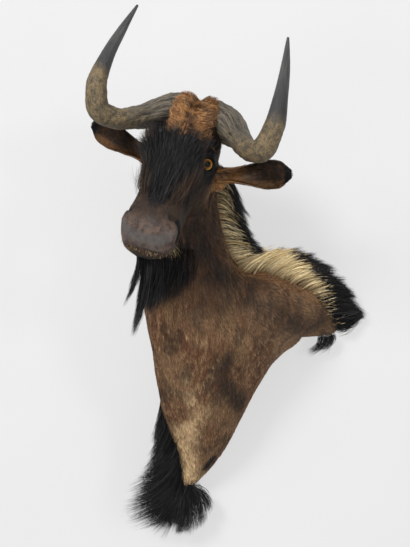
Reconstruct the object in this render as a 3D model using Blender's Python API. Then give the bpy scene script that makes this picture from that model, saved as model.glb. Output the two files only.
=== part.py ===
"""Wall mount of a black wildebeest bull: head, neck and chest on a wooden back board.

Metres. The origin is on the back face of the board, +Y points into the wall, +Z is up
and +X is to the right of someone who faces the mount. The body is one smooth form, given
by distance fields that are negative inside, and it is parted at plane cuts. Mane, beard,
chest fringe and face brush are flat, tapered locks fused into the node they grow from.
"""

import math
import random

import bmesh
import bpy
import numpy as np
from mathutils import Matrix, Vector

GAP = 0.0003
WALL_CLEARANCE = 0.004
SLIVER = 0.00003

# The head's own frame has +X to the animal's left, -Y along the nose and +Z up, with its
# origin on the front of the crown between the horns.
HEAD_AT = (-0.072, -0.420, 0.616)
HEAD_YAW = math.radians(12)
HEAD_ROLL = math.radians(15)
FACE_TILT = math.radians(25)

# Half sections of the head down the face: distance from the crown, front line, back line,
# half width.
HEAD_SECTIONS = (
    (-0.035, -0.045, -0.085, 0.020),
    (-0.010, -0.012, -0.130, 0.055),
    (0.035, 0.004, -0.165, 0.074),
    (0.080, 0.008, -0.182, 0.081),
    (0.125, 0.006, -0.190, 0.082),
    (0.170, 0.002, -0.185, 0.079),
    (0.220, -0.003, -0.160, 0.073),
    (0.270, 0.000, -0.130, 0.067),
    (0.315, 0.002, -0.110, 0.068),
    (0.350, -0.006, -0.098, 0.069),
    (0.375, -0.020, -0.090, 0.062),
    (0.396, -0.042, -0.082, 0.044),
    (0.408, -0.060, -0.072, 0.015),
)
MUZZLE_SQUARENESS = 3.0

# Level slices of the chest and neck: height, centre across, centre out of the wall, half
# length from the breast to the spine, half width, and turn of the breast from the wall.
BODY_SLICES = (
    (-0.408, -0.108, -0.034, 0.010, 0.008, 36),
    (-0.390, -0.100, -0.040, 0.024, 0.020, 36),
    (-0.360, -0.087, -0.045, 0.042, 0.037, 36),
    (-0.300, -0.070, -0.060, 0.070, 0.067, 38),
    (-0.200, -0.056, -0.098, 0.122, 0.096, 40),
    (-0.120, -0.040, -0.122, 0.162, 0.105, 42),
    (-0.060, -0.026, -0.135, 0.192, 0.115, 44),
    (0.000, -0.010, -0.152, 0.218, 0.124, 46),
    (0.060, -0.031, -0.183, 0.200, 0.122, 48),
    (0.120, -0.062, -0.213, 0.170, 0.105, 49),
    (0.200, -0.075, -0.238, 0.145, 0.088, 48),
    (0.258, -0.088, -0.253, 0.120, 0.080, 45),
    (0.300, -0.094, -0.257, 0.112, 0.077, 42),
    (0.345, -0.098, -0.263, 0.105, 0.075, 38),
    (0.390, -0.100, -0.270, 0.100, 0.073, 34),
    (0.450, -0.094, -0.290, 0.090, 0.070, 30),
    (0.510, -0.085, -0.305, 0.070, 0.060, 26),
    (0.550, -0.080, -0.315, 0.030, 0.030, 24),
)
# The withers run from the neck back to the wall: point and radius.
WITHERS = (
    ((0.085, -0.170, 0.112), 0.098),
    ((0.190, -0.085, 0.098), 0.078),
    ((0.288, 0.010, 0.073), 0.052),
)
# Far flank, which falls away from the withers to the wall.
FLANK = (((0.050, -0.110, 0.070), 0.090), ((0.170, -0.030, 0.050), 0.060))

# Cuts between the nodes of flesh: a point on the cut and the side that is the upper node.
CUTS = {
    "head": ((-0.080, -0.330, 0.420), (0.00, -0.80, 0.60)),
    "neck": ((-0.050, 0.0, 0.150), (-0.51, 0.0, 0.86)),
    "shoulder": ((0.0, 0.0, -0.160), (0.0, 0.0, 1.0)),
}

EYE_AT = (0.062, 0.001, -0.140)
EYE_RADIUS = 0.0175
EYE_TURN = math.radians(50)

# The left horn in the head's frame: centre, half height and half depth.
HORN_PATH = (
    ((0.038, 0.062, -0.010), 0.040, 0.050),
    ((0.072, 0.056, -0.024), 0.042, 0.052),
    ((0.129, 0.007, -0.063), 0.027, 0.042),
    ((0.178, -0.051, -0.089), 0.026, 0.032),
    ((0.204, -0.080, -0.084), 0.028, 0.029),
    ((0.221, -0.101, -0.030), 0.025, 0.025),
    ((0.217, -0.096, 0.042), 0.0175, 0.0175),
    ((0.2055, -0.0755, 0.117), 0.0112, 0.0112),
    ((0.190, -0.0565, 0.189), 0.0032, 0.0032),
)

# Grooves of the head, as points and radii: between the crown's two lobes, in each nostril,
# and along the lips.
CLEFT = (((0, -0.020, 0.035), 0.006), ((0, 0.0, 0.0), 0.003), ((0, 0.010, -0.040), 0.001))
NOSTRIL = (
    ((0.050, -0.136, -0.298), 0.006),
    ((0.066, -0.120, -0.316), 0.007),
    ((0.064, -0.098, -0.338), 0.004),
)
MOUTH = (
    ((0.000, -0.132, -0.385), 0.003),
    ((0.030, -0.124, -0.383), 0.003),
    ((0.058, -0.096, -0.368), 0.003),
    ((0.072, -0.050, -0.345), 0.003),
    ((0.068, -0.020, -0.325), 0.002),
)

# Each ear: where it leaves the head, its tip, and the way its cup opens.
EARS = {
    "ear_left": ((0.085, 0.075, -0.152), (0.256, 0.085, -0.105), (0.25, -0.95, -0.10)),
    "ear_right": ((-0.085, 0.068, -0.150), (-0.250, 0.030, -0.105), (-0.30, -0.90, -0.30)),
}
EAR_HALF_WIDTH = 0.033
EAR_THICKNESS = 0.0045
EAR_BOW = 0.012
# From root to tip: shares of the half width, and how far each side curls round, in degrees.
EAR_WIDTHS = ((0, 0.2, 0.45, 0.7, 0.88, 1), (0.55, 0.48, 0.72, 1.0, 0.82, 0.20))
EAR_CURL = ((0, 0.3, 0.7, 1), (150, 105, 58, 30))

# Dense cores of the long hair, half way to its tips: points and radii. The brush is in the
# head's frame.
BRUSH = (((0, 0.010, -0.120), 0.040), ((0, -0.046, -0.200), 0.044), ((0, -0.066, -0.250), 0.034))
BEARD = (((-0.172, -0.500, 0.240), 0.028), ((-0.192, -0.475, 0.190), 0.018))
NECK_MANE = (
    ((-0.040, -0.232, 0.440), 0.018),
    ((-0.012, -0.192, 0.350), 0.028),
    ((0.018, -0.163, 0.278), 0.036),
    ((0.060, -0.150, 0.246), 0.028),
)
BACK_MANE = (
    ((0.100, -0.142, 0.214), 0.031),
    ((0.170, -0.098, 0.194), 0.032),
    ((0.240, -0.060, 0.158), 0.032),
    ((0.310, -0.040, 0.112), 0.024),
)
FRINGE = (
    ((-0.138, -0.172, -0.215), 0.024),
    ((-0.143, -0.132, -0.320), 0.039),
    ((-0.150, -0.100, -0.390), 0.048),
    ((-0.122, -0.078, -0.425), 0.049),
)

# Flat locks over the cores: how many lie along each stretch of long hair, or across and up
# the brush.
NECK_MANE_LOCKS = 8
BACK_MANE_LOCKS = 9
FRINGE_LOCKS = 9
BRUSH_LOCKS = (4, 4)
THROAT_LOCKS = (4, 2)
LOCK_WIDTH = 0.034
LOCK_THICKNESS = 0.007
LOCK_SINK = 0.014

# Tips of the long hair, in the order of the roots along its core.
NECK_MANE_EDGE = (
    (0.004, -0.215, 0.412),
    (0.038, -0.208, 0.378),
    (0.056, -0.196, 0.336),
    (0.074, -0.184, 0.296),
    (0.110, -0.168, 0.257),
)
BACK_MANE_EDGE = (
    (0.130, -0.150, 0.262),
    (0.200, -0.110, 0.270),
    (0.262, -0.080, 0.248),
    (0.322, -0.055, 0.202),
    (0.375, -0.035, 0.145),
    (0.402, -0.022, 0.082),
)
FRINGE_EDGE = (
    (-0.203, -0.165, -0.285),
    (-0.236, -0.140, -0.352),
    (-0.268, -0.120, -0.412),
    (-0.252, -0.105, -0.458),
    (-0.201, -0.095, -0.500),
    (-0.147, -0.085, -0.520),
    (-0.100, -0.075, -0.496),
    (-0.056, -0.065, -0.450),
)
BEARD_TIPS = (
    (-0.232, -0.425, 0.046),
    (-0.214, -0.430, 0.062),
    (-0.240, -0.445, 0.110),
    (-0.221, -0.405, 0.088),
    (-0.202, -0.420, 0.110),
    (-0.228, -0.455, 0.145),
    (-0.200, -0.470, 0.150),
)

# Layers of each stretch: the way its locks leave the core, how much of the way to the edge
# they reach, and how far they lie towards the wall of it.
NECK_MANE_LAYERS = (
    ((1.0, 0.9, 0.3), 0.90, 0.014),
    ((1.0, -0.2, 0.3), 1.0, 0.0),
    ((0.3, -1.0, 0.1), 0.78, -0.010),
)
BACK_MANE_LAYERS = (
    ((0.1, 1.0, 0.4), 0.88, 0.012),
    ((0.1, -0.1, 1.0), 1.0, 0.0),
    ((0.1, -1.0, 0.4), 0.80, -0.010),
)
FRINGE_LAYERS = (
    ((-0.6, 0.9, -0.1), 0.85, 0.022),
    ((-1.0, -0.3, -0.3), 1.0, 0.0),
    ((-0.2, -1.0, 0.0), 0.80, -0.016),
)

HANGER_AT = (0.060, -0.006)
HANGER_SIZE = (0.070, 0.0015, 0.016)
BOARD_THICKNESS = 0.018
# Corners of the back board, a little inside the edge of the form at the wall.
BOARD_OUTLINE = (
    (-0.100, -0.340),
    (-0.055, -0.330),
    (0.125, -0.030),
    (0.125, 0.015),
    (-0.020, 0.015),
    (-0.085, -0.220),
)

# The opening between the lids: half width, half depth and half height.
EYE_OPENING = (0.0168, 0.0125, 0.0150)

# Colour, roughness and metallic value of each node.
FINISHES = {
    "head": ((0.035, 0.026, 0.020), 0.85, 0),
    "neck": ((0.075, 0.048, 0.032), 0.85, 0),
    "shoulder": ((0.120, 0.072, 0.044), 0.85, 0),
    "brisket": ((0.095, 0.060, 0.040), 0.85, 0),
    "horn_left": ((0.110, 0.090, 0.060), 0.55, 0),
    "horn_right": ((0.110, 0.090, 0.060), 0.55, 0),
    "ear_left": ((0.050, 0.033, 0.024), 0.85, 0),
    "ear_right": ((0.050, 0.033, 0.024), 0.85, 0),
    "eye_left": ((0.250, 0.110, 0.020), 0.05, 0),
    "eye_right": ((0.250, 0.110, 0.020), 0.05, 0),
    "back_board": ((0.420, 0.280, 0.160), 0.70, 0),
    "hanger": ((0.600, 0.600, 0.600), 0.35, 1),
}


def turned(matrix, points):
    """Points, one a row, carried by a 4x4 matrix."""
    table = np.array(matrix)
    return points @ table[:3, :3].T + table[:3, 3]


def head_matrix():
    roll = Matrix.Rotation(HEAD_ROLL, 4, "Y")
    yaw = Matrix.Rotation(-HEAD_YAW, 4, "Z")
    return Matrix.Translation(HEAD_AT) @ roll @ yaw


def eased(stops, values, at):
    """Smooth curve through values at rising stops, read at every number in at."""
    stops, values = np.array(stops, float), np.array(values, float)
    slopes = np.gradient(values, stops)
    index = np.clip(np.searchsorted(stops, at) - 1, 0, len(stops) - 2)
    width = stops[index + 1] - stops[index]
    t = np.clip((at - stops[index]) / width, 0, 1)
    start = (1 + 2 * t) * (1 - t) ** 2 * values[index] + t * (1 - t) ** 2 * width * slopes[index]
    finish = t * t * (3 - 2 * t) * values[index + 1] + t * t * (t - 1) * width * slopes[index + 1]
    return start + finish


def blend(first, second, reach):
    """Union of two fields with a fillet about as wide as reach."""
    share = np.clip(0.5 + 0.5 * (second - first) / reach, 0, 1)
    return second + (first - second) * share - reach * share * (1 - share)


def carve(solid, cutter, reach):
    """The first field without the second, with a rounded edge."""
    return -blend(-solid, cutter, reach)


def ellipsoid(points, centre, radii):
    offset = points - np.array(centre)
    near = np.linalg.norm(offset / radii, axis=1) + 1e-6
    slope = np.linalg.norm(offset / np.square(radii), axis=1) + 1e-6 / min(radii)
    return (near - 1) * near / slope


def tube(points, path):
    """Round rod through (point, radius) pairs."""
    field = None
    for (start, thin), (end, thick) in zip(path, path[1:]):
        start, end = np.array(start), np.array(end)
        along = end - start
        share = np.clip((points - start) @ along / (along @ along), 0, 1)
        reach = np.linalg.norm(points - start - share[:, None] * along, axis=1)
        piece = reach - (thin + (thick - thin) * share)
        field = piece if field is None else np.minimum(field, piece)
    return field


def oval(across, deep, half_across, half_deep, power=2.0):
    """Distance to an oval outline; a power above 2 squares it off."""
    near = (np.abs(across / half_across) ** power + np.abs(deep / half_deep) ** power) ** (1 / power)
    slope = np.hypot(across / half_across**2, deep / half_deep**2)
    return (near - 1) * (near + 1e-6) / (slope + 1e-6 / np.minimum(half_across, half_deep))


def chest_field(points):
    rows = np.array(BODY_SLICES)
    across, out, length, width, turn = (
        eased(rows[:, 0], rows[:, column], points[:, 2]) for column in range(1, 6)
    )
    turn = np.radians(turn)
    right, back = points[:, 0] - across, points[:, 1] - out
    spineward = right * np.sin(turn) + back * np.cos(turn)
    leftward = right * np.cos(turn) - back * np.sin(turn)
    round_body = oval(spineward, leftward, length, width)
    ends = np.maximum(points[:, 2] - rows[-1, 0], rows[0, 0] - points[:, 2])
    back = np.minimum(tube(points, WITHERS), tube(points, FLANK))
    return blend(np.maximum(round_body, ends), back, 0.05)


def head_field(points):
    """The head in its own frame, without eyes, ears and horns."""
    side, forward, up = np.abs(points[:, 0]), -points[:, 1], points[:, 2]
    down = forward * math.sin(FACE_TILT) - up * math.cos(FACE_TILT)
    out = forward * math.cos(FACE_TILT) + up * math.sin(FACE_TILT)
    rows = np.array(HEAD_SECTIONS)
    front, back, width = (eased(rows[:, 0], rows[:, column], down) for column in (1, 2, 3))
    power = 2.0 + (MUZZLE_SQUARENESS - 2.0) * np.clip((down - 0.24) / 0.08, 0, 1)
    skull = oval(side, out - (front + back) / 2, width, (front - back) / 2, power)
    skull = np.maximum(skull, np.maximum(down - rows[-1, 0], rows[0, 0] - down))
    mirrored = np.column_stack([side, points[:, 1], up])
    orbit = ellipsoid(mirrored, (0.058, 0.004, -0.136), (0.026, 0.036, 0.034))
    ear_root = ellipsoid(mirrored, (0.084, 0.072, -0.160), (0.030, 0.026, 0.032))
    cheek = ellipsoid(mirrored, (0.040, 0.065, -0.200), (0.032, 0.060, 0.065))
    crown = ellipsoid(mirrored, (0.028, 0.048, -0.034), (0.040, 0.062, 0.060))
    field = blend(blend(skull, orbit, 0.02), cheek, 0.03)
    field = blend(blend(field, crown, 0.02), ear_root, 0.02)
    field = carve(field, tube(mirrored, CLEFT), 0.012)
    field = carve(field, tube(mirrored, NOSTRIL), 0.006)
    field = carve(field, tube(mirrored, MOUTH), 0.005)
    lids = ellipsoid(mirrored, EYE_AT, (EYE_RADIUS + 0.0045,) * 3)
    field = blend(field, lids, 0.008)
    aim = np.array([math.sin(EYE_TURN), -math.cos(EYE_TURN), 0.0])
    across = np.array([math.cos(EYE_TURN), math.sin(EYE_TURN), 0.0])
    offset = mirrored - np.array(EYE_AT) - aim * (EYE_RADIUS + 0.002)
    opening = np.stack([offset @ across, offset @ aim, offset[:, 2]], 1)
    return carve(field, ellipsoid(opening, (0, 0, 0), EYE_OPENING), 0.004)


def body_field(points):
    head = head_field(turned(head_matrix().inverted(), points))
    return blend(chest_field(points), head, 0.03)


def without_pinches(values, step):
    """Grid values with the corners filled where the surface would touch itself along an edge."""
    while True:
        inside = values < 0
        fill = np.zeros_like(inside)
        for axis in range(3):
            flat, marks = np.moveaxis(inside, axis, 0), np.moveaxis(fill, axis, 0)
            near, far = flat[:, :-1, :-1], flat[:, 1:, 1:]
            left, right = flat[:, 1:, :-1], flat[:, :-1, 1:]
            pinch = (near == far) & (left == right) & (near != left)
            for corner in (marks[:, :-1, :-1], marks[:, 1:, 1:], marks[:, 1:, :-1], marks[:, :-1, 1:]):
                corner |= pinch
        fill &= ~inside
        if not fill.any():
            return values
        values = np.where(fill, -0.1 * step, values)


def skin(field, low, high, step):
    """Closed mesh of quads where a field is zero, by surface nets, with its points eased on."""
    axes = [np.arange(first, last + step, step) for first, last in zip(low, high)]
    shape = tuple(len(axis) for axis in axes)
    points = np.stack(np.meshgrid(*axes, indexing="ij"), -1).reshape(-1, 3)
    values = np.concatenate([field(block) for block in np.array_split(points, 1 + len(points) // 200000)])
    values = without_pinches(values.reshape(shape), step)
    inside = values < 0
    cells = tuple(n - 1 for n in shape)
    corners = [(i, j, k) for i in (0, 1) for j in (0, 1) for k in (0, 1)]
    shifted = [inside[i : i + cells[0], j : j + cells[1], k : k + cells[2]] for i, j, k in corners]
    count = sum(block.astype(np.int8) for block in shifted)
    mixed = np.argwhere((count > 0) & (count < 8))
    number = -np.ones(cells, np.int64)
    number[tuple(mixed.T)] = np.arange(len(mixed))
    total, hits = np.zeros((len(mixed), 3)), np.zeros(len(mixed))
    for start in corners:
        for axis in range(3):
            if start[axis]:
                continue
            end = tuple(c + (n == axis) for n, c in enumerate(start))
            first = values[tuple((mixed + start).T)]
            last = values[tuple((mixed + end).T)]
            crossed = (first < 0) != (last < 0)
            share = np.where(crossed, first / np.where(crossed, first - last, 1), 0)
            place = mixed + np.array(start) + share[:, None] * np.eye(3)[axis]
            total += place * crossed[:, None]
            hits += crossed
    vertices = np.array(low) + total / hits[:, None] * step
    quads = []
    for axis in range(3):
        u, v = (axis + 1) % 3, (axis + 2) % 3
        near = np.moveaxis(inside, axis, 0)
        flips = np.argwhere(near[:-1] != near[1:])
        edges = np.empty_like(flips)
        edges[:, [axis] + [a for a in range(3) if a != axis]] = flips
        edges = edges[(edges[:, u] > 0) & (edges[:, v] > 0)]
        edges = edges[(edges[:, u] < cells[u]) & (edges[:, v] < cells[v])]
        step_u, step_v = np.eye(3, dtype=int)[u], np.eye(3, dtype=int)[v]
        ring = [edges, edges - step_u, edges - step_u - step_v, edges - step_v]
        found = np.stack([number[tuple(cell.T)] for cell in ring], 1)
        outward = inside[tuple(edges.T)]
        quads.append(np.where(outward[:, None], found, found[:, ::-1]))
    vertices = eased_on(field, vertices, step)
    return vertices, np.concatenate(quads)


def slope_of(field, points, reach=0.0008):
    """Gradient of a field at points."""
    return np.stack(
        [(field(points + side) - field(points - side)) / (2 * reach) for side in np.eye(3) * reach], 1
    )


def eased_on(field, points, step):
    """Points moved onto the zero surface, by at most half a step."""
    for _ in range(3):
        slope = slope_of(field, points)
        move = field(points)[:, None] * slope / np.maximum((slope**2).sum(1), 0.05)[:, None]
        size = np.linalg.norm(move, axis=1, keepdims=True)
        points = points - move * np.minimum(1, 0.5 * step / np.maximum(size, 1e-9))
    return points


def horn_rings(sides, steps):
    """Sweep of the left horn in the head's frame."""
    places = np.array([place for place, _, _ in HORN_PATH])
    stops = np.concatenate([[0], np.cumsum(np.linalg.norm(np.diff(places, axis=0), axis=1))])
    at = np.linspace(0, stops[-1], steps + 1)
    centres = np.stack([eased(stops, places[:, axis], at) for axis in range(3)], 1)
    high = eased(stops, [size for _, size, _ in HORN_PATH], at)
    deep = eased(stops, [size for _, _, size in HORN_PATH], at)
    along = np.gradient(centres, axis=0)
    along /= np.linalg.norm(along, axis=1, keepdims=True)
    depth = np.array([0.0, 1.0, 0.0]) - along * along[:, 1:2]
    depth /= np.linalg.norm(depth, axis=1, keepdims=True)
    height = np.cross(along, depth)
    turn = np.linspace(0, 2 * math.pi, sides, endpoint=False)[None, :, None]
    up = height[:, None] * np.cos(turn) * high[:, None, None]
    out = depth[:, None] * np.sin(turn) * deep[:, None, None]
    return centres[:, None] + up + out


def ear_rings(root, tip, opening, steps=11, arc_points=7):
    """Cupped leaf from root to tip: each ring is its outer arc and then its inner arc."""
    root, tip, opening = (np.array(value, float) for value in (root, tip, opening))
    along = (tip - root) / np.linalg.norm(tip - root)
    face = opening - along * (opening @ along)
    face /= np.linalg.norm(face)
    side = np.cross(along, face)
    rings = []
    for share in np.linspace(0, 1, steps + 1):
        width = EAR_HALF_WIDTH * eased(*EAR_WIDTHS, share)
        curl = math.radians(eased(*EAR_CURL, share))
        bow = EAR_BOW * math.sin(math.pi * share)
        centre = root + (tip - root) * share - face * bow
        radius = width / math.sin(min(curl, math.pi / 2))
        for sign in (1, -1):
            turn = np.linspace(-curl, curl, arc_points)[::sign]
            reach = radius + (EAR_THICKNESS if sign > 0 else 0) * (1 - 0.5 * share)
            arc = side * (np.sin(turn) * reach)[:, None] + face * (radius - np.cos(turn) * reach)[:, None]
            rings.append(centre + arc)
    return np.array(rings).reshape(steps + 1, 2 * arc_points, 3)


def mesh_object(name, vertices, faces):
    mesh = bpy.data.meshes.new(name)
    mesh.from_pydata([tuple(v) for v in vertices], [], [tuple(int(i) for i in f) for f in faces])
    made = bpy.data.objects.new(name, mesh)
    bpy.context.scene.collection.objects.link(made)
    return made


def edited(made, *steps):
    """The object after bmesh operators are run on its mesh."""
    work = bmesh.new()
    work.from_mesh(made.data)
    for step in steps:
        step(work)
    work.to_mesh(made.data)
    work.free()
    return made


def face_out(work):
    bmesh.ops.recalc_face_normals(work, faces=work.faces)
    if work.calc_volume(signed=True) < 0:
        bmesh.ops.reverse_faces(work, faces=work.faces)


def lofted(name, rings):
    """Closed mesh through rings of equal length, with a flat cap at each end."""
    count, sides = rings.shape[:2]
    faces = [tuple(range(sides))[::-1], tuple(range((count - 1) * sides, count * sides))]
    for ring in range(count - 1):
        for side in range(sides):
            a, b = ring * sides + side, ring * sides + (side + 1) % sides
            faces += [(a, b, b + sides), (a, b + sides, a + sides)]
    return edited(mesh_object(name, rings.reshape(-1, 3), faces), face_out)


def settled(made):
    """The object with its modifiers applied."""
    graph = bpy.context.evaluated_depsgraph_get()
    mesh = bpy.data.meshes.new_from_object(made.evaluated_get(graph))
    made.modifiers.clear()
    made.data = mesh
    return made


def thinned(made, triangles):
    edited(made, lambda work: bmesh.ops.triangulate(work, faces=work.faces))
    reducer = made.modifiers.new("reducer", "DECIMATE")
    reducer.ratio = min(1, triangles / len(made.data.polygons))
    return settled(made)


def clipped(made, point, normal):
    """Cut flat at a plane, keeping the side that the normal points to, and capped."""

    def cut(work):
        geometry = work.verts[:] + work.edges[:] + work.faces[:]
        bmesh.ops.bisect_plane(
            work, geom=geometry, dist=1e-6, plane_co=point, plane_no=normal, clear_inner=True
        )
        bmesh.ops.holes_fill(work, edges=[edge for edge in work.edges if edge.is_boundary])
        bmesh.ops.triangulate(work, faces=work.faces)

    return edited(made, cut, face_out)


def combined(target, pieces, operation):
    """Union with, or difference from, a list of closed objects, which are then removed."""
    holder = bpy.data.collections.new("pieces")
    for piece in pieces:
        holder.objects.link(piece)
    boolean = target.modifiers.new("boolean", "BOOLEAN")
    boolean.operation = operation
    boolean.operand_type = "COLLECTION"
    boolean.collection = holder
    boolean.solver = "EXACT"
    settled(target)
    for piece in pieces:
        bpy.data.objects.remove(piece)
    bpy.data.collections.remove(holder)
    return edited(target, tidied, largest_shell, face_out)


def tidied(work):
    """Close up the slivers that a Boolean leaves."""
    bmesh.ops.dissolve_degenerate(work, dist=SLIVER, edges=work.edges)
    bmesh.ops.triangulate(work, faces=work.faces)


def largest_shell(work):
    """Drop every closed surface but the one that holds the most volume."""
    bmesh.ops.triangulate(work, faces=work.faces)
    left, shells = set(work.faces), []
    while left:
        shell, edge_of = [], [left.pop()]
        while edge_of:
            face = edge_of.pop()
            shell.append(face)
            for edge in face.edges:
                for other in edge.link_faces:
                    if other in left:
                        left.remove(other)
                        edge_of.append(other)
        shells.append(shell)

    def volume(shell):
        corners = [[vertex.co for vertex in face.verts] for face in shell]
        return abs(sum(a.dot(b.cross(c)) for a, b, c in corners))

    shells.sort(key=volume)
    for shell in shells[:-1]:
        bmesh.ops.delete(work, geom=shell, context="FACES")


def swollen(made, reach):
    """Copy of a closed object, larger by reach all over."""
    copy = made.copy()
    copy.data = made.data.copy()
    bpy.context.scene.collection.objects.link(copy)
    normals = [vertex.normal.copy() for vertex in copy.data.vertices]
    for vertex, normal in zip(copy.data.vertices, normals):
        vertex.co += normal * reach
    return copy


def ball(name, centre, radius, rings=8):
    def grow(work):
        place = Matrix.Translation(centre)
        bmesh.ops.create_uvsphere(work, u_segments=2 * rings, v_segments=rings, radius=radius, matrix=place)
        bmesh.ops.triangulate(work, faces=work.faces)

    return edited(mesh_object(name, [], []), grow, face_out)


def box(name, low, high):
    middle = (Vector(low) + Vector(high)) / 2
    size = Vector(high) - Vector(low)
    place = Matrix.Translation(middle) @ Matrix.Diagonal((*size, 1))
    return edited(
        mesh_object(name, [], []), lambda work: bmesh.ops.create_cube(work, size=1, matrix=place), face_out
    )


def board(name):
    """Flat wooden plate from its outline, with its back face on the wall."""
    count = len(BOARD_OUTLINE)
    vertices = [(x, y, z) for y in (0, -BOARD_THICKNESS) for x, z in BOARD_OUTLINE]
    faces = [tuple(range(count)), tuple(range(count, 2 * count))]
    faces += [(i, (i + 1) % count, (i + 1) % count + count, i + count) for i in range(count)]
    return edited(mesh_object(name, vertices, faces), face_out)


def finish(made, colour, roughness, metallic=0.0):
    material = bpy.data.materials.new(made.name)
    material.use_nodes = True
    shader = material.node_tree.nodes["Principled BSDF"]
    shader.inputs["Base Color"].default_value = (*colour, 1)
    shader.inputs["Roughness"].default_value = roughness
    shader.inputs["Metallic"].default_value = metallic
    made.data.materials.clear()
    made.data.materials.append(material)
    made.data.shade_smooth()
    made.data.set_sharp_from_angle(angle=math.radians(40))


def beside(cut, side):
    """Plane half a gap to the lower (-1) or upper (1) side of a cut, with its normal to that side."""
    point, normal = (Vector(value) for value in CUTS[cut])
    normal = side * normal.normalized()
    return point + normal * GAP / 2, normal


def flesh(name, low, high, step, triangles, upper=None, lower=None):
    """One node of the body between its cuts, which keep the gap between them."""
    margin = 0.015

    def field(points):
        value = np.maximum(body_field(points), points[:, 1] - margin)
        for cut, side in ((upper, 1), (lower, -1)):
            if cut:
                point, normal = (np.array(v) for v in CUTS[cut])
                beyond = side * ((points - point) @ normal) / np.linalg.norm(normal)
                value = np.maximum(value, beyond - margin)
        return value

    made = mesh_object(name, *skin(field, low, high, step))
    thinned(made, triangles)
    for cut, side in ((upper, -1), (lower, 1)):
        if cut:
            clipped(made, *beside(cut, side))
    return clipped(made, (0, -WALL_CLEARANCE, 0), (0, -1, 0))


def core(path, triangles, step=0.008):
    """Smooth closed form along a path of points and radii."""
    points = np.array([point for point, _ in path])
    reach = max(radius for _, radius in path) + 2 * step
    low, high = points.min(0) - reach, points.max(0) + reach
    return thinned(mesh_object("core", *skin(lambda at: tube(at, path), low, high, step)), triangles)


def landed(inside, direction, path=None):
    """Point of the skin, or of the core along a path, straight out from a point inside it."""

    def field(points):
        body = body_field(points)
        return body if path is None else np.minimum(body, tube(points, path))

    inside, direction = np.array(inside, float), np.array(direction, float)
    direction /= np.linalg.norm(direction)
    steps = np.linspace(0, 0.3, 121)
    values = field(inside + steps[:, None] * direction)
    after = int(np.argmax(values > 0))
    share = values[after - 1] / (values[after - 1] - values[after])
    point = inside + (steps[after - 1] + share * (steps[after] - steps[after - 1])) * direction
    outward = slope_of(field, point[None])[0]
    return point, outward / np.linalg.norm(outward)


def lock(root, outward, tip, width=LOCK_WIDTH, lift=0.3, across=None):
    """Flat lock with a low ridge that rises from its root, bends over and tapers to its tip."""
    root, outward, tip = np.array(root), np.array(outward), np.array(tip)
    run = tip - root
    start = root - outward * LOCK_SINK
    middle = root + 0.35 * run + outward * lift * np.linalg.norm(run)
    across = np.cross(run, outward) if across is None else np.array(across, float)
    stations = (0.0, 0.28, 0.52, 0.78)
    breadths = (0.75, 1.0, 0.85, 0.45)
    rings = []
    for share, breadth in zip(stations, breadths):
        centre = (1 - share) ** 2 * start + 2 * share * (1 - share) * middle + share**2 * tip
        along = (1 - share) * (middle - start) + share * (tip - middle)
        along /= np.linalg.norm(along)
        side = across - along * (across @ along)
        side /= np.linalg.norm(side)
        up = np.cross(side, along)
        half, ridge = side * breadth * width / 2, up * (0.4 + 0.6 * breadth) * LOCK_THICKNESS
        rings += [centre + half, centre + ridge, centre - half]
    rings.append(tip)
    faces = [(0, 1, 2)]
    for ring in range(3):
        for corner in range(3):
            a, b = 3 * ring + corner, 3 * ring + (corner + 1) % 3
            faces += [(a, b, b + 3), (a, b + 3, a + 3)]
    faces += [(9 + corner, 9 + (corner + 1) % 3, 12) for corner in range(3)]
    return edited(mesh_object("lock", rings, faces), face_out)


def slice_at(height):
    """Centre of a level slice of the neck or chest, and the way to its spine."""
    rows = np.array(BODY_SLICES)
    x, y, turn = (float(eased(rows[:, 0], rows[:, column], np.array([height]))[0]) for column in (1, 2, 5))
    turn = math.radians(turn)
    return np.array([x, y, height]), np.array([math.sin(turn), math.cos(turn), 0.0])


def aside(direction, degrees):
    """A level direction turned about the vertical."""
    return np.array(Matrix.Rotation(math.radians(degrees), 3, "Z") @ Vector(direction))


def combed(draw, path, edge, count, layers, lift=0.12):
    """Layers of locks that leave the core along a path and reach to an edge of tips."""
    spots, tips = np.array([point for point, _ in path]), np.array(edge)
    locks = []
    for layer, (out, reach, back) in enumerate(layers):
        for number in range(count):
            share = (number + 0.5 * (layer % 2)) / (count - 0.5)
            inside = [eased(np.linspace(0, 1, len(spots)), spots[:, i], share) for i in range(3)]
            far = np.array([eased(np.linspace(0, 1, len(tips)), tips[:, i], share) for i in range(3)])
            root, outward = landed(inside, out, path)
            tip = root + (far - root) * reach * draw.uniform(0.92, 1.0)
            tip[1] = min(tip[1] + back, -0.008)
            locks.append(lock(root, outward, tip, lift=lift))
    return locks


def rear_wisp():
    roots = ((0.300, -0.040, 0.060), (0.280, -0.040, 0.060), (0.262, -0.045, 0.060))
    tips = ((0.300, -0.045, -0.008), (0.262, -0.040, -0.014), (0.240, -0.045, -0.004))
    found = [landed(inside, (0, -0.35, -1)) for inside in roots]
    return [lock(root, outward, tip, width=0.5 * LOCK_WIDTH) for (root, outward), tip in zip(found, tips)]


def chin_beard():
    locks = []
    for number, tip in enumerate(BEARD_TIPS):
        side = 0.014 * (number % 3 - 1)
        inside = head_matrix() @ Vector((side, -0.034 - 0.006 * (number % 2), -0.370))
        root, outward = landed(inside, (0, 0.1, -1), BEARD)
        locks.append(lock(root, outward, tip, width=0.6 * LOCK_WIDTH, lift=0.04, across=(1, 0.3, 0)))
    return locks


def throat_beard(draw):
    count, rows = THROAT_LOCKS
    locks = []
    for row in range(rows):
        for number in range(count):
            centre, spine = slice_at(0.235 - 0.045 * row)
            root, outward = landed(centre, aside(-spine, 25 * (number - 2)))
            tip = root + outward * 0.020 + np.array([0, 0, -draw.uniform(0.065, 0.085)])
            locks.append(lock(root, outward, tip, lift=0.12))
    return locks


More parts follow.
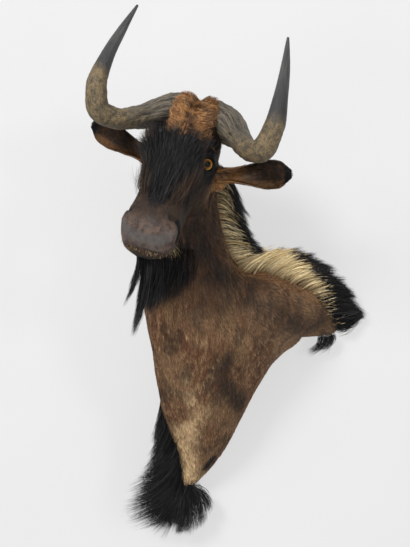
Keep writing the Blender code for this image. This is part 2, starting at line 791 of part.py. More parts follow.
def face_brush(draw, path):
    """Hair that stands out from the bridge of the nose and sweeps up the face."""
    columns, rows = BRUSH_LOCKS
    place = head_matrix()
    turn = place.to_3x3()
    locks = []
    for row in range(rows):
        for column in range(columns):
            side = (column + 0.5 * (row % 2) - 0.5 * (columns - 0.5)) / (0.5 * columns)
            down = 0.135 + 0.040 * row
            inside = Vector((0.040 * side, 0.035 - down * 0.40, -down))
            root, outward = landed(place @ inside, turn @ Vector((0.5 * side, -1, 0.15)), path)
            rise = Vector((0.024 * side, -0.002, 0.078)) * draw.uniform(0.9, 1.1)
            flat = turn @ Vector((1, 0.5 * side, 0))
            locks.append(lock(root, outward, root + np.array(turn @ rise), lift=0.2, across=flat))
    return locks


def head_node(cutters):
    head = flesh("head", (-0.30, -0.66, 0.16), (0.10, -0.20, 0.68), 0.0045, 2700, lower="head")
    brush = [(tuple(head_matrix() @ Vector(point)), radius) for point, radius in BRUSH]
    cores = [core(BEARD, 90), core(brush, 200)]
    combined(head, cores + face_brush(random.Random(3), brush) + chin_beard(), "UNION")
    return combined(head, cutters, "DIFFERENCE")


def neck_node():
    neck = flesh("neck", (-0.30, -0.56, 0.00), (0.22, 0.03, 0.64), 0.009, 900, upper="head", lower="neck")
    mane = combed(random.Random(1), NECK_MANE, NECK_MANE_EDGE, NECK_MANE_LOCKS, NECK_MANE_LAYERS)
    combined(neck, [core(NECK_MANE, 140)] + mane + throat_beard(random.Random(5)), "UNION")
    for cut, side in (("head", -1), ("neck", 1)):
        clipped(neck, *beside(cut, side))
    return edited(neck, largest_shell, face_out)


def shoulder_node():
    low, high = (-0.28, -0.42, -0.20), (0.38, 0.03, 0.30)
    shoulder = flesh("shoulder", low, high, 0.009, 1300, upper="neck", lower="shoulder")
    mane = combed(random.Random(2), BACK_MANE, BACK_MANE_EDGE, BACK_MANE_LOCKS, BACK_MANE_LAYERS)
    combined(shoulder, [core(BACK_MANE, 160)] + mane + rear_wisp(), "UNION")
    clipped(shoulder, *beside("neck", -1))
    clipped(shoulder, (0, -WALL_CLEARANCE, 0), (0, -1, 0))
    return edited(shoulder, largest_shell, face_out)


def brisket_node():
    brisket = flesh("brisket", (-0.26, -0.34, -0.43), (0.20, 0.03, -0.12), 0.009, 900, upper="shoulder")
    hair = combed(random.Random(6), FRINGE, FRINGE_EDGE, FRINGE_LOCKS, FRINGE_LAYERS)
    combined(brisket, [core(FRINGE, 180)] + hair, "UNION")
    clipped(brisket, *beside("shoulder", -1))
    clipped(brisket, (0, -WALL_CLEARANCE, 0), (0, -1, 0))
    return edited(brisket, largest_shell, face_out)


def hanger(name):
    wide, thick, high = HANGER_SIZE
    across, up = HANGER_AT
    return box(name, (across - wide / 2, -thick, up - high / 2), (across + wide / 2, 0, up + high / 2))


def main():
    for old in list(bpy.data.objects):
        bpy.data.objects.remove(old)
    head_place = head_matrix()
    parts = {}
    for side, name in ((1, "horn_left"), (-1, "horn_right")):
        rings = horn_rings(12, 20) * (side, 1, 1)
        parts[name] = lofted(name, turned(head_place, rings.reshape(-1, 3)).reshape(rings.shape))
    for name, (root, tip, opening) in EARS.items():
        rings = ear_rings(root, tip, opening)
        parts[name] = lofted(name, turned(head_place, rings.reshape(-1, 3)).reshape(rings.shape))
    for side, name in ((1, "eye_left"), (-1, "eye_right")):
        centre = head_place @ Vector((EYE_AT[0] * side, EYE_AT[1], EYE_AT[2]))
        parts[name] = ball(name, centre, EYE_RADIUS)
    parts["head"] = head_node([swollen(piece, GAP) for piece in parts.values()])
    parts["neck"] = neck_node()
    parts["shoulder"] = shoulder_node()
    parts["brisket"] = brisket_node()
    plate = board("back_board")
    parts["hanger"] = hanger("hanger")
    parts["back_board"] = combined(plate, [swollen(parts["hanger"], GAP)], "DIFFERENCE")
    for name in ("shoulder", "brisket"):
        combined(parts[name], [swollen(parts["back_board"], GAP)], "DIFFERENCE")
    for name, (colour, roughness, metallic) in FINISHES.items():
        finish(parts[name], colour, roughness, metallic)


main()
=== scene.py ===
"""Looks of the black wildebeest wall mount: skin, coat, long hair, horns, ears, eyes and board.

Metres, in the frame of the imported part: the wall is the plane y = 0 with +Y into it, +Z is
up and +X is to the right of someone who faces the mount. The skin is found from the same
distance fields as the solids and lies a coat's depth inside them. Hair is made of thin
tapered blades in joined meshes. Every blade keeps its root's place and markings, so that
one material colours skin and hair alike.
"""

import math
from contextlib import contextmanager

import bmesh
import bpy
import numpy as np
from mathutils import Matrix, Vector, kdtree, noise


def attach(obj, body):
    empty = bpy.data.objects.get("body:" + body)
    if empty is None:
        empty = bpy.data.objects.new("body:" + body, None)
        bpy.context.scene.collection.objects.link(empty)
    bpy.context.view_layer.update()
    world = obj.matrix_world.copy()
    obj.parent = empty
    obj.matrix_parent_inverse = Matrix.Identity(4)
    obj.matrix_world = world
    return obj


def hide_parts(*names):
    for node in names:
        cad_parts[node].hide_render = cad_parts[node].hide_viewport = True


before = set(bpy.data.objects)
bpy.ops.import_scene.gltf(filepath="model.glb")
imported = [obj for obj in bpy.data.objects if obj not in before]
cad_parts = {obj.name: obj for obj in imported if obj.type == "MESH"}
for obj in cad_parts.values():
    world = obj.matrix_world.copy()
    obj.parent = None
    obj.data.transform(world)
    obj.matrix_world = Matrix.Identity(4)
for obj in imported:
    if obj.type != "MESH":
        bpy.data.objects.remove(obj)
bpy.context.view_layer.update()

COAT_DEPTH = 0.003
WALL_CLEARANCE = 0.004
HAIR_CLEARANCE = 0.002
ROOT_DEPTH = 0.002
SHORT_ROOT_DEPTH = 0.001
SKIN_STEP = 0.006
# Box that the skin lies in.
SKIN_LOW = (-0.28, -0.62, -0.43)
SKIN_HIGH = (0.39, 0.03, 0.68)
# Grid points worked on at a time.
BLOCK = 200000
HAIR_SHARE = 1.0

# The head's own frame has +X to the animal's left, -Y along the nose and +Z up, with its
# origin on the front of the crown between the horns.
HEAD_AT = (-0.072, -0.420, 0.616)
HEAD_YAW = math.radians(12)
HEAD_ROLL = math.radians(15)
FACE_TILT = math.radians(25)

# Half sections of the head down the face: distance from the crown, front line, back line,
# half width.
HEAD_SECTIONS = (
    (-0.035, -0.045, -0.085, 0.020),
    (-0.010, -0.012, -0.130, 0.055),
    (0.035, 0.004, -0.165, 0.074),
    (0.080, 0.008, -0.182, 0.081),
    (0.125, 0.006, -0.190, 0.082),
    (0.170, 0.002, -0.185, 0.079),
    (0.220, -0.003, -0.160, 0.073),
    (0.270, 0.000, -0.130, 0.067),
    (0.315, 0.002, -0.110, 0.068),
    (0.350, -0.006, -0.098, 0.069),
    (0.375, -0.020, -0.090, 0.062),
    (0.396, -0.042, -0.082, 0.044),
    (0.408, -0.060, -0.072, 0.015),
)
MUZZLE_SQUARENESS = 3.0
MUZZLE_FROM = 0.24
MUZZLE_FADE = 0.08

# Level slices of the chest and neck: height, centre across, centre out of the wall, half
# length from the breast to the spine, half width, and turn of the breast from the wall.
BODY_SLICES = (
    (-0.408, -0.108, -0.034, 0.010, 0.008, 36),
    (-0.390, -0.100, -0.040, 0.024, 0.020, 36),
    (-0.360, -0.087, -0.045, 0.042, 0.037, 36),
    (-0.300, -0.070, -0.060, 0.070, 0.067, 38),
    (-0.200, -0.056, -0.098, 0.122, 0.096, 40),
    (-0.120, -0.040, -0.122, 0.162, 0.105, 42),
    (-0.060, -0.026, -0.135, 0.192, 0.115, 44),
    (0.000, -0.010, -0.152, 0.218, 0.124, 46),
    (0.060, -0.031, -0.183, 0.200, 0.122, 48),
    (0.120, -0.062, -0.213, 0.170, 0.105, 49),
    (0.200, -0.075, -0.238, 0.145, 0.088, 48),
    (0.258, -0.088, -0.253, 0.120, 0.080, 45),
    (0.300, -0.094, -0.257, 0.112, 0.077, 42),
    (0.345, -0.098, -0.263, 0.105, 0.075, 38),
    (0.390, -0.100, -0.270, 0.100, 0.073, 34),
    (0.450, -0.094, -0.290, 0.090, 0.070, 30),
    (0.510, -0.085, -0.305, 0.070, 0.060, 26),
    (0.550, -0.080, -0.315, 0.030, 0.030, 24),
)
WITHERS = (
    ((0.085, -0.170, 0.112), 0.098),
    ((0.190, -0.085, 0.098), 0.078),
    ((0.288, 0.010, 0.073), 0.052),
)
FLANK = (((0.050, -0.110, 0.070), 0.090), ((0.170, -0.030, 0.050), 0.060))
BACK_FILLET = 0.05
NECK_FILLET = 0.03

EYE_AT = (0.062, 0.001, -0.140)
EYE_RADIUS = 0.0175
EYE_TURN = math.radians(42)
EYE_OPENING = (0.0174, 0.0125, 0.0160)
LID_THICKNESS = 0.0045
LID_STANDOFF = 0.002

# The left horn in the head's frame: centre, half height and half depth.
HORN_PATH = (
    ((0.038, 0.062, -0.010), 0.040, 0.050),
    ((0.072, 0.056, -0.024), 0.042, 0.052),
    ((0.129, 0.007, -0.063), 0.027, 0.042),
    ((0.178, -0.051, -0.089), 0.026, 0.032),
    ((0.204, -0.080, -0.084), 0.028, 0.029),
    ((0.221, -0.101, -0.030), 0.025, 0.025),
    ((0.217, -0.096, 0.042), 0.0175, 0.0175),
    ((0.2055, -0.0755, 0.117), 0.0112, 0.0112),
    ((0.190, -0.0565, 0.189), 0.0032, 0.0032),
)

# Swellings of the head on its left half: centre, radii and fillet of the brow over the eye,
# the cheek, the crown and the root of the ear.
HEAD_SWELLINGS = (
    ((0.058, 0.004, -0.136), (0.026, 0.036, 0.034), 0.02),
    ((0.040, 0.065, -0.200), (0.032, 0.060, 0.065), 0.03),
    ((0.028, 0.048, -0.034), (0.040, 0.062, 0.060), 0.02),
    ((0.084, 0.072, -0.160), (0.030, 0.026, 0.032), 0.02),
)

# Grooves and a ridge of the head, as points and radii.
CLEFT = (((0, -0.020, 0.035), 0.006), ((0, 0.0, 0.0), 0.003), ((0, 0.010, -0.040), 0.001))
NOSTRIL = (
    ((0.050, -0.127, -0.293), 0.005),
    ((0.065, -0.111, -0.303), 0.008),
    ((0.070, -0.101, -0.320), 0.010),
    ((0.066, -0.100, -0.340), 0.006),
)
NOSTRIL_RIM = (
    ((0.040, -0.131, -0.288), 0.003),
    ((0.056, -0.127, -0.301), 0.005),
    ((0.061, -0.121, -0.322), 0.006),
    ((0.055, -0.125, -0.344), 0.004),
)
MOUTH = (
    ((0.000, -0.132, -0.385), 0.003),
    ((0.030, -0.124, -0.383), 0.003),
    ((0.058, -0.096, -0.368), 0.003),
    ((0.072, -0.050, -0.345), 0.003),
    ((0.068, -0.020, -0.325), 0.002),
)

# Each ear: where it leaves the head, its tip, and the way its cup opens.
EARS = {
    "ear_left": ((0.085, 0.075, -0.152), (0.256, 0.085, -0.105), (0.25, -0.95, -0.10)),
    "ear_right": ((-0.085, 0.068, -0.150), (-0.250, 0.030, -0.105), (-0.30, -0.90, -0.30)),
}
EAR_HALF_WIDTH = 0.033
EAR_THICKNESS = 0.0045
EAR_BOW = 0.012
EAR_WIDTHS = ((0, 0.2, 0.45, 0.7, 0.88, 1), (0.55, 0.48, 0.72, 1.0, 0.86, 0.34))
EAR_CURL = ((0, 0.3, 0.7, 1), (150, 105, 58, 30))

# Markings of the face, as paths of points and radii in the head's frame, on its left half.
FACE_BLACK = (
    ((0, -0.030, -0.105), 0.052),
    ((0, -0.060, -0.165), 0.066),
    ((0, -0.100, -0.225), 0.042),
    ((0, -0.118, -0.258), 0.022),
)
EYE_BLACK = (((0.058, -0.004, -0.100), 0.030), ((0.070, 0.006, -0.160), 0.034))
CHIN_BLACK = (((0, -0.090, -0.410), 0.030), ((0, -0.020, -0.370), 0.060))
CHEEK_BLACK = (
    ((0.068, -0.006, -0.190), 0.018),
    ((0.060, -0.060, -0.232), 0.022),
    ((0.062, -0.080, -0.290), 0.018),
    ((0.064, -0.060, -0.340), 0.024),
)
NOSTRIL_BLACK = tuple((place, size + 0.004) for place, size in NOSTRIL[1:])
LIP_GREY = (
    ((0.000, -0.141, -0.354), 0.012),
    ((0.035, -0.138, -0.352), 0.012),
    ((0.056, -0.130, -0.336), 0.010),
    ((0.061, -0.123, -0.312), 0.006),
)
CROWN_ORANGE = (
    ((0.012, 0.000, 0.020), 0.046),
    ((0.016, -0.020, -0.035), 0.036),
    ((0.016, -0.040, -0.080), 0.022),
)
EAR_ROOT_ORANGE = (((0.094, 0.062, -0.170), 0.020), ((0.090, 0.070, -0.200), 0.024))
CHEEK_ORANGE = (((0.084, 0.050, -0.200), 0.018), ((0.072, 0.110, -0.220), 0.014))
# Curls over the near eye, on the left half alone.
BROW_CURLS = (((0.030, -0.035, -0.094), 0.010), ((0.056, -0.018, -0.086), 0.014))

# Markings of the neck and chest, as paths of points and radii.
# Black of the throat: partly its long black hair, partly painted shadow under the jaw, where the patch
# reaches to the right of the beard.
THROAT_BLACK_AND_JAW_SHADOW = (
    ((-0.180, -0.450, 0.250), 0.045),
    ((-0.130, -0.350, 0.245), 0.052),
    ((-0.165, -0.335, 0.190), 0.040),
    ((-0.182, -0.320, 0.140), 0.022),
)
FRINGE_BLACK = (
    ((-0.168, -0.150, -0.150), 0.010),
    ((-0.150, -0.120, -0.300), 0.016),
    ((-0.122, -0.060, -0.400), 0.020),
)
SPOT_BLACK = (((-0.044, -0.095, -0.335), 0.016), ((-0.028, -0.105, -0.300), 0.016))
NECK_DARK = (
    ((-0.060, -0.330, 0.430), 0.080),
    ((-0.060, -0.330, 0.290), 0.080),
    ((-0.030, -0.310, 0.210), 0.060),
    ((0.060, -0.250, 0.170), 0.040),
)
BODY_DARK = (
    ((0.014, -0.275, 0.157), 0.030),
    ((0.118, -0.255, 0.105), 0.042),
    ((0.206, -0.146, 0.060), 0.036),
    ((0.265, -0.101, 0.073), 0.026),
)
BELLY_DARK = (
    ((0.014, -0.290, -0.010), 0.018),
    ((-0.005, -0.255, -0.076), 0.022),
    ((0.044, -0.167, -0.139), 0.030),
)
CREST_GOLD = (
    ((0.030, -0.230, 0.222), 0.014),
    ((0.120, -0.200, 0.180), 0.020),
    ((0.230, -0.110, 0.130), 0.018),
)
CREST_CREAM = (
    ((-0.020, -0.215, 0.455), 0.012),
    ((0.004, -0.180, 0.330), 0.020),
    ((0.040, -0.170, 0.240), 0.026),
    ((0.130, -0.130, 0.205), 0.026),
    ((0.240, -0.060, 0.160), 0.022),
)
# The first radius is below zero, so that only the soft edge of the patch is seen there.
BELLY_PALE = (
    ((-0.095, -0.270, -0.085), -0.014),
    ((-0.072, -0.225, -0.160), 0.012),
    ((-0.112, -0.150, -0.240), 0.024),
    ((-0.112, -0.095, -0.330), 0.036),
    ((-0.105, -0.055, -0.390), 0.034),
)


def turned(matrix, points):
    """Points, one a row, carried by a 4x4 matrix."""
    table = np.array(matrix)
    return points @ table[:3, :3].T + table[:3, 3]


def head_matrix():
    """Carries points of the head's own frame to the frame of the mount."""
    roll = Matrix.Rotation(HEAD_ROLL, 4, "Y")
    yaw = Matrix.Rotation(-HEAD_YAW, 4, "Z")
    return Matrix.Translation(HEAD_AT) @ roll @ yaw


HEAD = head_matrix()
HEAD_INVERSE = HEAD.inverted()
HEAD_TURN = np.array(HEAD.to_3x3())


def in_head(points):
    """Points in the head's own frame."""
    return turned(HEAD_INVERSE, points)


def mirrored(at):
    """Points of the head's frame, with its right half folded onto its left."""
    return np.column_stack([np.abs(at[:, 0]), at[:, 1:]])


def from_eye(at):
    """Distance from the middle of the nearer eye, in the head's frame."""
    return np.linalg.norm(mirrored(at) - np.array(EYE_AT), axis=1)


def unit(vectors):
    """Vectors made one long; a zero stays zero."""
    return vectors / np.maximum(np.linalg.norm(vectors, axis=-1, keepdims=True), 1e-9)


def smooth(value):
    """0 to 1, level at both ends."""
    value = np.clip(value, 0, 1)
    return value * value * (3 - 2 * value)


def eased(stops, values, at):
    """Smooth curve through values at rising stops, read at every number in at."""
    stops, values = np.array(stops, float), np.array(values, float)
    slopes = np.gradient(values, stops)
    index = np.clip(np.searchsorted(stops, at) - 1, 0, len(stops) - 2)
    width = stops[index + 1] - stops[index]
    t = np.clip((at - stops[index]) / width, 0, 1)
    start = (1 + 2 * t) * (1 - t) ** 2 * values[index] + t * (1 - t) ** 2 * width * slopes[index]
    finish = t * t * (3 - 2 * t) * values[index + 1] + t * t * (t - 1) * width * slopes[index + 1]
    return start + finish


def curve(stops, points, at):
    """Places on a smooth curve through points at rising stops."""
    points = np.array(points, float)
    return np.stack([eased(stops, column, at) for column in points.T], -1)


def along_path(points, share):
    """Places on a smooth curve through points, at shares from 0 to 1."""
    return curve(np.linspace(0, 1, len(points)), points, share)


def sections(table, at):
    """The further columns of a table, read along its first column at every number in at."""
    rows = np.array(table)
    return [eased(rows[:, 0], column, at) for column in rows.T[1:]]


def past_ends(table, at):
    """How far numbers lie past the ends of a table's first column, below zero inside."""
    return np.maximum(at - table[-1][0], table[0][0] - at)


def blend(first, second, reach):
    """Union of two fields with a fillet about as wide as reach."""
    share = np.clip(0.5 + 0.5 * (second - first) / reach, 0, 1)
    return second + (first - second) * share - reach * share * (1 - share)


def carve(solid, cutter, reach):
    """The first field without the second, with a rounded edge."""
    return -blend(-solid, cutter, reach)


def ellipsoid(points, centre, radii):
    """Distance to an ellipsoid, close to true near its surface."""
    offset = points - np.array(centre)
    near = np.linalg.norm(offset / radii, axis=1) + 1e-6
    slope = np.linalg.norm(offset / np.square(radii), axis=1) + 1e-6 / min(radii)
    return (near - 1) * near / slope


def tube(points, path):
    """Distance to a round rod through (point, radius) pairs."""
    field = None
    for (start, thin), (end, thick) in zip(path, path[1:]):
        start, end = np.array(start), np.array(end)
        along = end - start
        share = np.clip((points - start) @ along / (along @ along), 0, 1)
        reach = np.linalg.norm(points - start - share[:, None] * along, axis=1)
        piece = reach - (thin + (thick - thin) * share)
        field = piece if field is None else np.minimum(field, piece)
    return field


def oval(across, deep, half_across, half_deep, power=2.0):
    """Distance to an oval outline; a power above 2 squares it off."""
    near = (np.abs(across / half_across) ** power + np.abs(deep / half_deep) ** power) ** (1 / power)
    slope = np.hypot(across / half_across**2, deep / half_deep**2)
    return (near - 1) * (near + 1e-6) / (slope + 1e-6 / np.minimum(half_across, half_deep))


def chest_field(points):
    """The chest and neck, with the withers and the flank."""
    across, out, length, width, turn = sections(BODY_SLICES, points[:, 2])
    turn = np.radians(turn)
    right, back = points[:, 0] - across, points[:, 1] - out
    spineward = right * np.sin(turn) + back * np.cos(turn)
    leftward = right * np.cos(turn) - back * np.sin(turn)
    trunk = np.maximum(oval(spineward, leftward, length, width), past_ends(BODY_SLICES, points[:, 2]))
    return blend(trunk, np.minimum(tube(points, WITHERS), tube(points, FLANK)), BACK_FILLET)


def gaze(turn, side=1):
    """The way that an eye looks, and the level way across it, in the head's frame."""
    aim = np.array([side * math.sin(turn), -math.cos(turn), 0.0])
    return aim, np.array([math.cos(turn), side * math.sin(turn), 0.0])


def head_field(at):
    """The head in its own frame, without eyes, ears and horns."""
    near, forward, up = mirrored(at), -at[:, 1], at[:, 2]
    down = forward * math.sin(FACE_TILT) - up * math.cos(FACE_TILT)
    out = forward * math.cos(FACE_TILT) + up * math.sin(FACE_TILT)
    front, back, width = sections(HEAD_SECTIONS, down)
    power = 2.0 + (MUZZLE_SQUARENESS - 2.0) * np.clip((down - MUZZLE_FROM) / MUZZLE_FADE, 0, 1)
    field = oval(near[:, 0], out - (front + back) / 2, width, (front - back) / 2, power)
    field = np.maximum(field, past_ends(HEAD_SECTIONS, down))
    for centre, radii, fillet in HEAD_SWELLINGS:
        field = blend(field, ellipsoid(near, centre, radii), fillet)
    field = carve(field, tube(near, CLEFT), reach=0.012)
    field = blend(field, tube(near, NOSTRIL_RIM), reach=0.010)
    field = carve(field, tube(near, NOSTRIL), reach=0.005)
    field = carve(field, tube(near, MOUTH), reach=0.005)
    field = blend(field, ellipsoid(near, EYE_AT, (EYE_RADIUS + LID_THICKNESS,) * 3), reach=0.008)
    aim, across = gaze(EYE_TURN)
    offset = near - np.array(EYE_AT) - aim * (EYE_RADIUS + LID_STANDOFF)
    opening = np.stack([offset @ across, offset @ aim, offset[:, 2]], 1)
    return carve(field, ellipsoid(opening, (0, 0, 0), EYE_OPENING), reach=0.004)


def muzzle_part(at, top, fade, front):
    """1 on the front of the face below a depth under the crown, in the head's frame."""
    return smooth((-at[:, 2] - top) / fade) * smooth((-at[:, 1] - front) / 0.03)


def bareness(at):
    """1 on the bare or nearly bare skin of the muzzle and the lids, in the head's frame."""
    lids = smooth((EYE_RADIUS + 0.012 - from_eye(at)) / 0.006)
    return np.maximum(muzzle_part(at, top=0.285, fade=0.03, front=0.060), lids)


def skin_field(points):
    """The body inside its coat, which thins out on the muzzle and the lids."""
    at = in_head(points)
    body = blend(chest_field(points), head_field(at), NECK_FILLET)
    inset = COAT_DEPTH * (1 - 0.85 * bareness(at))
    return np.maximum(body + inset, points[:, 1] - 0.02)


def without_pinches(values, step):
    """Grid values with the corners filled where the surface would touch itself along an edge."""
    while True:
        inside = values < 0
        fill = np.zeros_like(inside)
        for axis in range(3):
            flat, marks = np.moveaxis(inside, axis, 0), np.moveaxis(fill, axis, 0)
            near, far = flat[:, :-1, :-1], flat[:, 1:, 1:]
            left, right = flat[:, 1:, :-1], flat[:, :-1, 1:]
            pinch = (near == far) & (left == right) & (near != left)
            for corner in (marks[:, :-1, :-1], marks[:, 1:, 1:], marks[:, 1:, :-1], marks[:, :-1, 1:]):
                corner |= pinch
        fill &= ~inside
        if not fill.any():
            return values
        values = np.where(fill, -0.1 * step, values)


def net_points(values, mixed, corners):
    """Middle of the places where the surface crosses the edges of each cell, in grid steps."""
    total, hits = np.zeros((len(mixed), 3)), np.zeros(len(mixed))
    for start in corners:
        for axis in range(3):
            if start[axis]:
                continue
            end = tuple(c + (n == axis) for n, c in enumerate(start))
            first = values[tuple((mixed + start).T)]
            last = values[tuple((mixed + end).T)]
            crossed = (first < 0) != (last < 0)
            share = np.where(crossed, first / np.where(crossed, first - last, 1), 0)
            place = mixed + np.array(start) + share[:, None] * np.eye(3)[axis]
            total += place * crossed[:, None]
            hits += crossed
    return total / hits[:, None]


def net_quads(inside, number, cells):
    """A quad round each grid edge that the surface crosses."""
    quads = []
    for axis in range(3):
        u, v = (axis + 1) % 3, (axis + 2) % 3
        near = np.moveaxis(inside, axis, 0)
        flips = np.argwhere(near[:-1] != near[1:])
        edges = np.empty_like(flips)
        edges[:, [axis] + [a for a in range(3) if a != axis]] = flips
        edges = edges[(edges[:, u] > 0) & (edges[:, v] > 0)]
        edges = edges[(edges[:, u] < cells[u]) & (edges[:, v] < cells[v])]
        step_u, step_v = np.eye(3, dtype=int)[u], np.eye(3, dtype=int)[v]
        ring = [edges, edges - step_u, edges - step_u - step_v, edges - step_v]
        found = np.stack([number[tuple(cell.T)] for cell in ring], 1)
        outward = inside[tuple(edges.T)]
        quads.append(np.where(outward[:, None], found, found[:, ::-1]))
    return np.concatenate(quads)


def net(field, low, high, step):
    """Closed mesh of quads where a field is zero, by surface nets, with its points eased on."""
    axes = [np.arange(first, last + step, step) for first, last in zip(low, high)]
    shape = tuple(len(axis) for axis in axes)
    points = np.stack(np.meshgrid(*axes, indexing="ij"), -1).reshape(-1, 3)
    blocks = np.array_split(points, 1 + len(points) // BLOCK)
    values = without_pinches(np.concatenate([field(block) for block in blocks]).reshape(shape), step)
    inside = values < 0
    cells = tuple(n - 1 for n in shape)
    corners = [(i, j, k) for i in (0, 1) for j in (0, 1) for k in (0, 1)]
    shifted = [inside[i : i + cells[0], j : j + cells[1], k : k + cells[2]] for i, j, k in corners]
    count = sum(block.astype(np.int8) for block in shifted)
    mixed = np.argwhere((count > 0) & (count < 8))
    number = -np.ones(cells, np.int64)
    number[tuple(mixed.T)] = np.arange(len(mixed))
    vertices = np.array(low) + net_points(values, mixed, corners) * step
    return eased_on(field, vertices, step), net_quads(inside, number, cells)


def slope_of(field, points, reach=0.0005):
    """Gradient of a field at points."""
    sides = np.eye(3) * reach
    return np.stack([(field(points + side) - field(points - side)) / (2 * reach) for side in sides], 1)


def eased_on(field, points, step):
    """Points moved onto the zero surface, by at most half a step at a time."""
    for _ in range(3):
        slope = slope_of(field, points)
        move = field(points)[:, None] * slope / np.maximum((slope**2).sum(1), 0.05)[:, None]
        size = np.linalg.norm(move, axis=1, keepdims=True)
        points = points - move * np.minimum(1, 0.5 * step / np.maximum(size, 1e-9))
    return points


@contextmanager
def editing(mesh):
    """A mesh as a bmesh, which is written back at the end."""
    work = bmesh.new()
    work.from_mesh(mesh)
    yield work
    work.to_mesh(mesh)
    work.free()


def refined(work, wanted, field, step):
    """Split the faces whose middle is wanted in four and ease the new points on."""
    centres = np.array([face.calc_center_median() for face in work.faces])
    chosen = wanted(centres)
    edges = {edge for face, take in zip(work.faces, chosen) if take for edge in face.edges}
    bmesh.ops.subdivide_edges(work, edges=list(edges), cuts=1, use_grid_fill=True)
    points = np.array([vertex.co for vertex in work.verts])
    moved = wanted(points)
    points[moved] = eased_on(field, points[moved], step)
    for vertex, place, take in zip(work.verts, points, moved):
        if take:
            vertex.co = place


def head_share(points):
    """1 on the head, 0 on the neck and chest, with a soft step where they meet."""
    gap = chest_field(points) - head_field(in_head(points))
    return smooth(0.5 + gap / 0.05)


def on_head(points):
    """Whether points belong to the head and not to the neck or chest."""
    return head_share(points) > 0.5


def fine_face(points):
    """Whether points lie on the muzzle, the lips or the lids."""
    at = in_head(points)
    muzzle = (at[:, 2] < -0.27) & (at[:, 1] < -0.02)
    return on_head(points) & (muzzle | (from_eye(at) < 0.032))


def placed(name, data):
    """New object in the scene."""
    made = bpy.data.objects.new(name, data)
    bpy.context.scene.collection.objects.link(made)
    return made


def skin_mesh():
    """One skin for head, neck, shoulder and brisket, with finer faces where the head has detail."""
    vertices, quads = net(skin_field, SKIN_LOW, SKIN_HIGH, SKIN_STEP)
    mesh = bpy.data.meshes.new("hide")
    mesh.from_pydata(vertices.tolist(), [], quads.tolist())
    cut = {"plane_co": (0, -WALL_CLEARANCE, 0), "plane_no": (0, 1, 0), "clear_outer": True}
    with editing(mesh) as work:
        refined(work, on_head, skin_field, SKIN_STEP / 2)
        refined(work, fine_face, skin_field, SKIN_STEP / 4)
        geometry = work.verts[:] + work.edges[:] + work.faces[:]
        bmesh.ops.bisect_plane(work, geom=geometry, dist=1e-6, **cut)
        bmesh.ops.holes_fill(work, edges=[edge for edge in work.edges if edge.is_boundary])
        bmesh.ops.triangulate(work, faces=work.faces)
        bmesh.ops.recalc_face_normals(work, faces=work.faces)
    mesh.shade_smooth()
    return mesh


def vectors_of(vertices, key):
    """Places or normals of a mesh's vertices, one a row."""
    table = np.empty(len(vertices) * 3, np.float32)
    vertices.foreach_get(key, table)
    return table.reshape(-1, 3).astype(float)


def corners_of(mesh):
    """Vertex of each face corner."""
    table = np.empty(len(mesh.loops), np.int32)
    mesh.loops.foreach_get("vertex_index", table)
    return table


class Surface:
    """Triangles of the skin, to scatter roots on."""

    def __init__(self, mesh):
        """Take the triangles from a mesh."""
        corners = corners_of(mesh).reshape(-1, 3)
        self.points = vectors_of(mesh.vertices, "co")[corners]
        self.normals = vectors_of(mesh.vertices, "normal")[corners]
        sides = np.cross(self.points[:, 1] - self.points[:, 0], self.points[:, 2] - self.points[:, 0])
        self.areas = np.linalg.norm(sides, axis=1) / 2
        self.centres = self.points.mean(1)

    def scatter(self, draw, density, weights):
        """Random roots and normals: a density to the square metre, times a weight for each triangle."""
        chances = self.areas * weights
        count = int(density * HAIR_SHARE * chances.sum())
        chosen = draw.choice(len(chances), count, p=chances / chances.sum())
        a, b = draw.random((2, count))
        flip = a + b > 1
        a, b = np.where(flip, 1 - a, a), np.where(flip, 1 - b, b)
        shares = np.stack([1 - a - b, a, b], 1)[:, :, None]
        return (self.points[chosen] * shares).sum(1), unit((self.normals[chosen] * shares).sum(1))


def patch(points, path, soft):
    """1 inside a path of points and radii, fading to 0 over a soft edge."""
    return smooth(0.5 - tube(points, path) / soft)


def marks_of(black=0.0, orange=0.0, cream=0.0, pale=0.0, dark=0.0, bare=0.0):
    """Shares of each marking in the last axis."""
    return np.stack(np.broadcast_arrays(black, orange, cream, pale, dark, bare), -1)


def markings(points):
    """Shares of black, orange, cream, pale, dark and bare skin at points."""
    at, head = in_head(points), head_share(points)
    near = mirrored(at)
    crown_orange = patch(near, CROWN_ORANGE, 0.022) * smooth(0.3 + near[:, 0] / 0.008)
    ear_root = patch(near, EAR_ROOT_ORANGE, 0.030)
    bare = muzzle_part(at, top=0.285, fade=0.045, front=0.080) * smooth((at[:, 2] + 0.380) / 0.008)
    blacks = (
        patch(near, FACE_BLACK, 0.060) * (1 - crown_orange),
        patch(near, EYE_BLACK, 0.024),
        patch(near, CHIN_BLACK, 0.030) * (1 - bare),
        # Throat patch: black hair, and painted shadow under the jaw.
        patch(points, THROAT_BLACK_AND_JAW_SHADOW, 0.130),
        patch(points, FRINGE_BLACK, 0.014),
        0.80 * patch(points, SPOT_BLACK, 0.034),
        0.62 * patch(near, CHEEK_BLACK, 0.050) * (1 - bare) * head,
        0.46 * patch(points, NECK_DARK, 0.170),
    )
    oranges = (
        crown_orange,
        ear_root,
        0.40 * patch(near, CHEEK_ORANGE, 0.040),
        0.55 * patch(points, CREST_GOLD, 0.050),
    )
    darks = (
        0.85 * patch(points, NECK_DARK, 0.200),
        0.80 * head,
        0.62 * patch(points, BODY_DARK, 0.080),
        0.78 * patch(points, BELLY_DARK, 0.050),
    )
    return marks_of(
        black=np.maximum(np.maximum.reduce(blacks) * (1 - ear_root), patch(near, NOSTRIL_BLACK, 0.005)),
        orange=np.maximum.reduce(oranges),
        cream=patch(points, CREST_CREAM, 0.024),
        pale=np.maximum(0.95 * patch(points, BELLY_PALE, 0.110), patch(near, LIP_GREY, 0.014) * bare),
        dark=np.maximum.reduce(darks),
        bare=bare,
    )


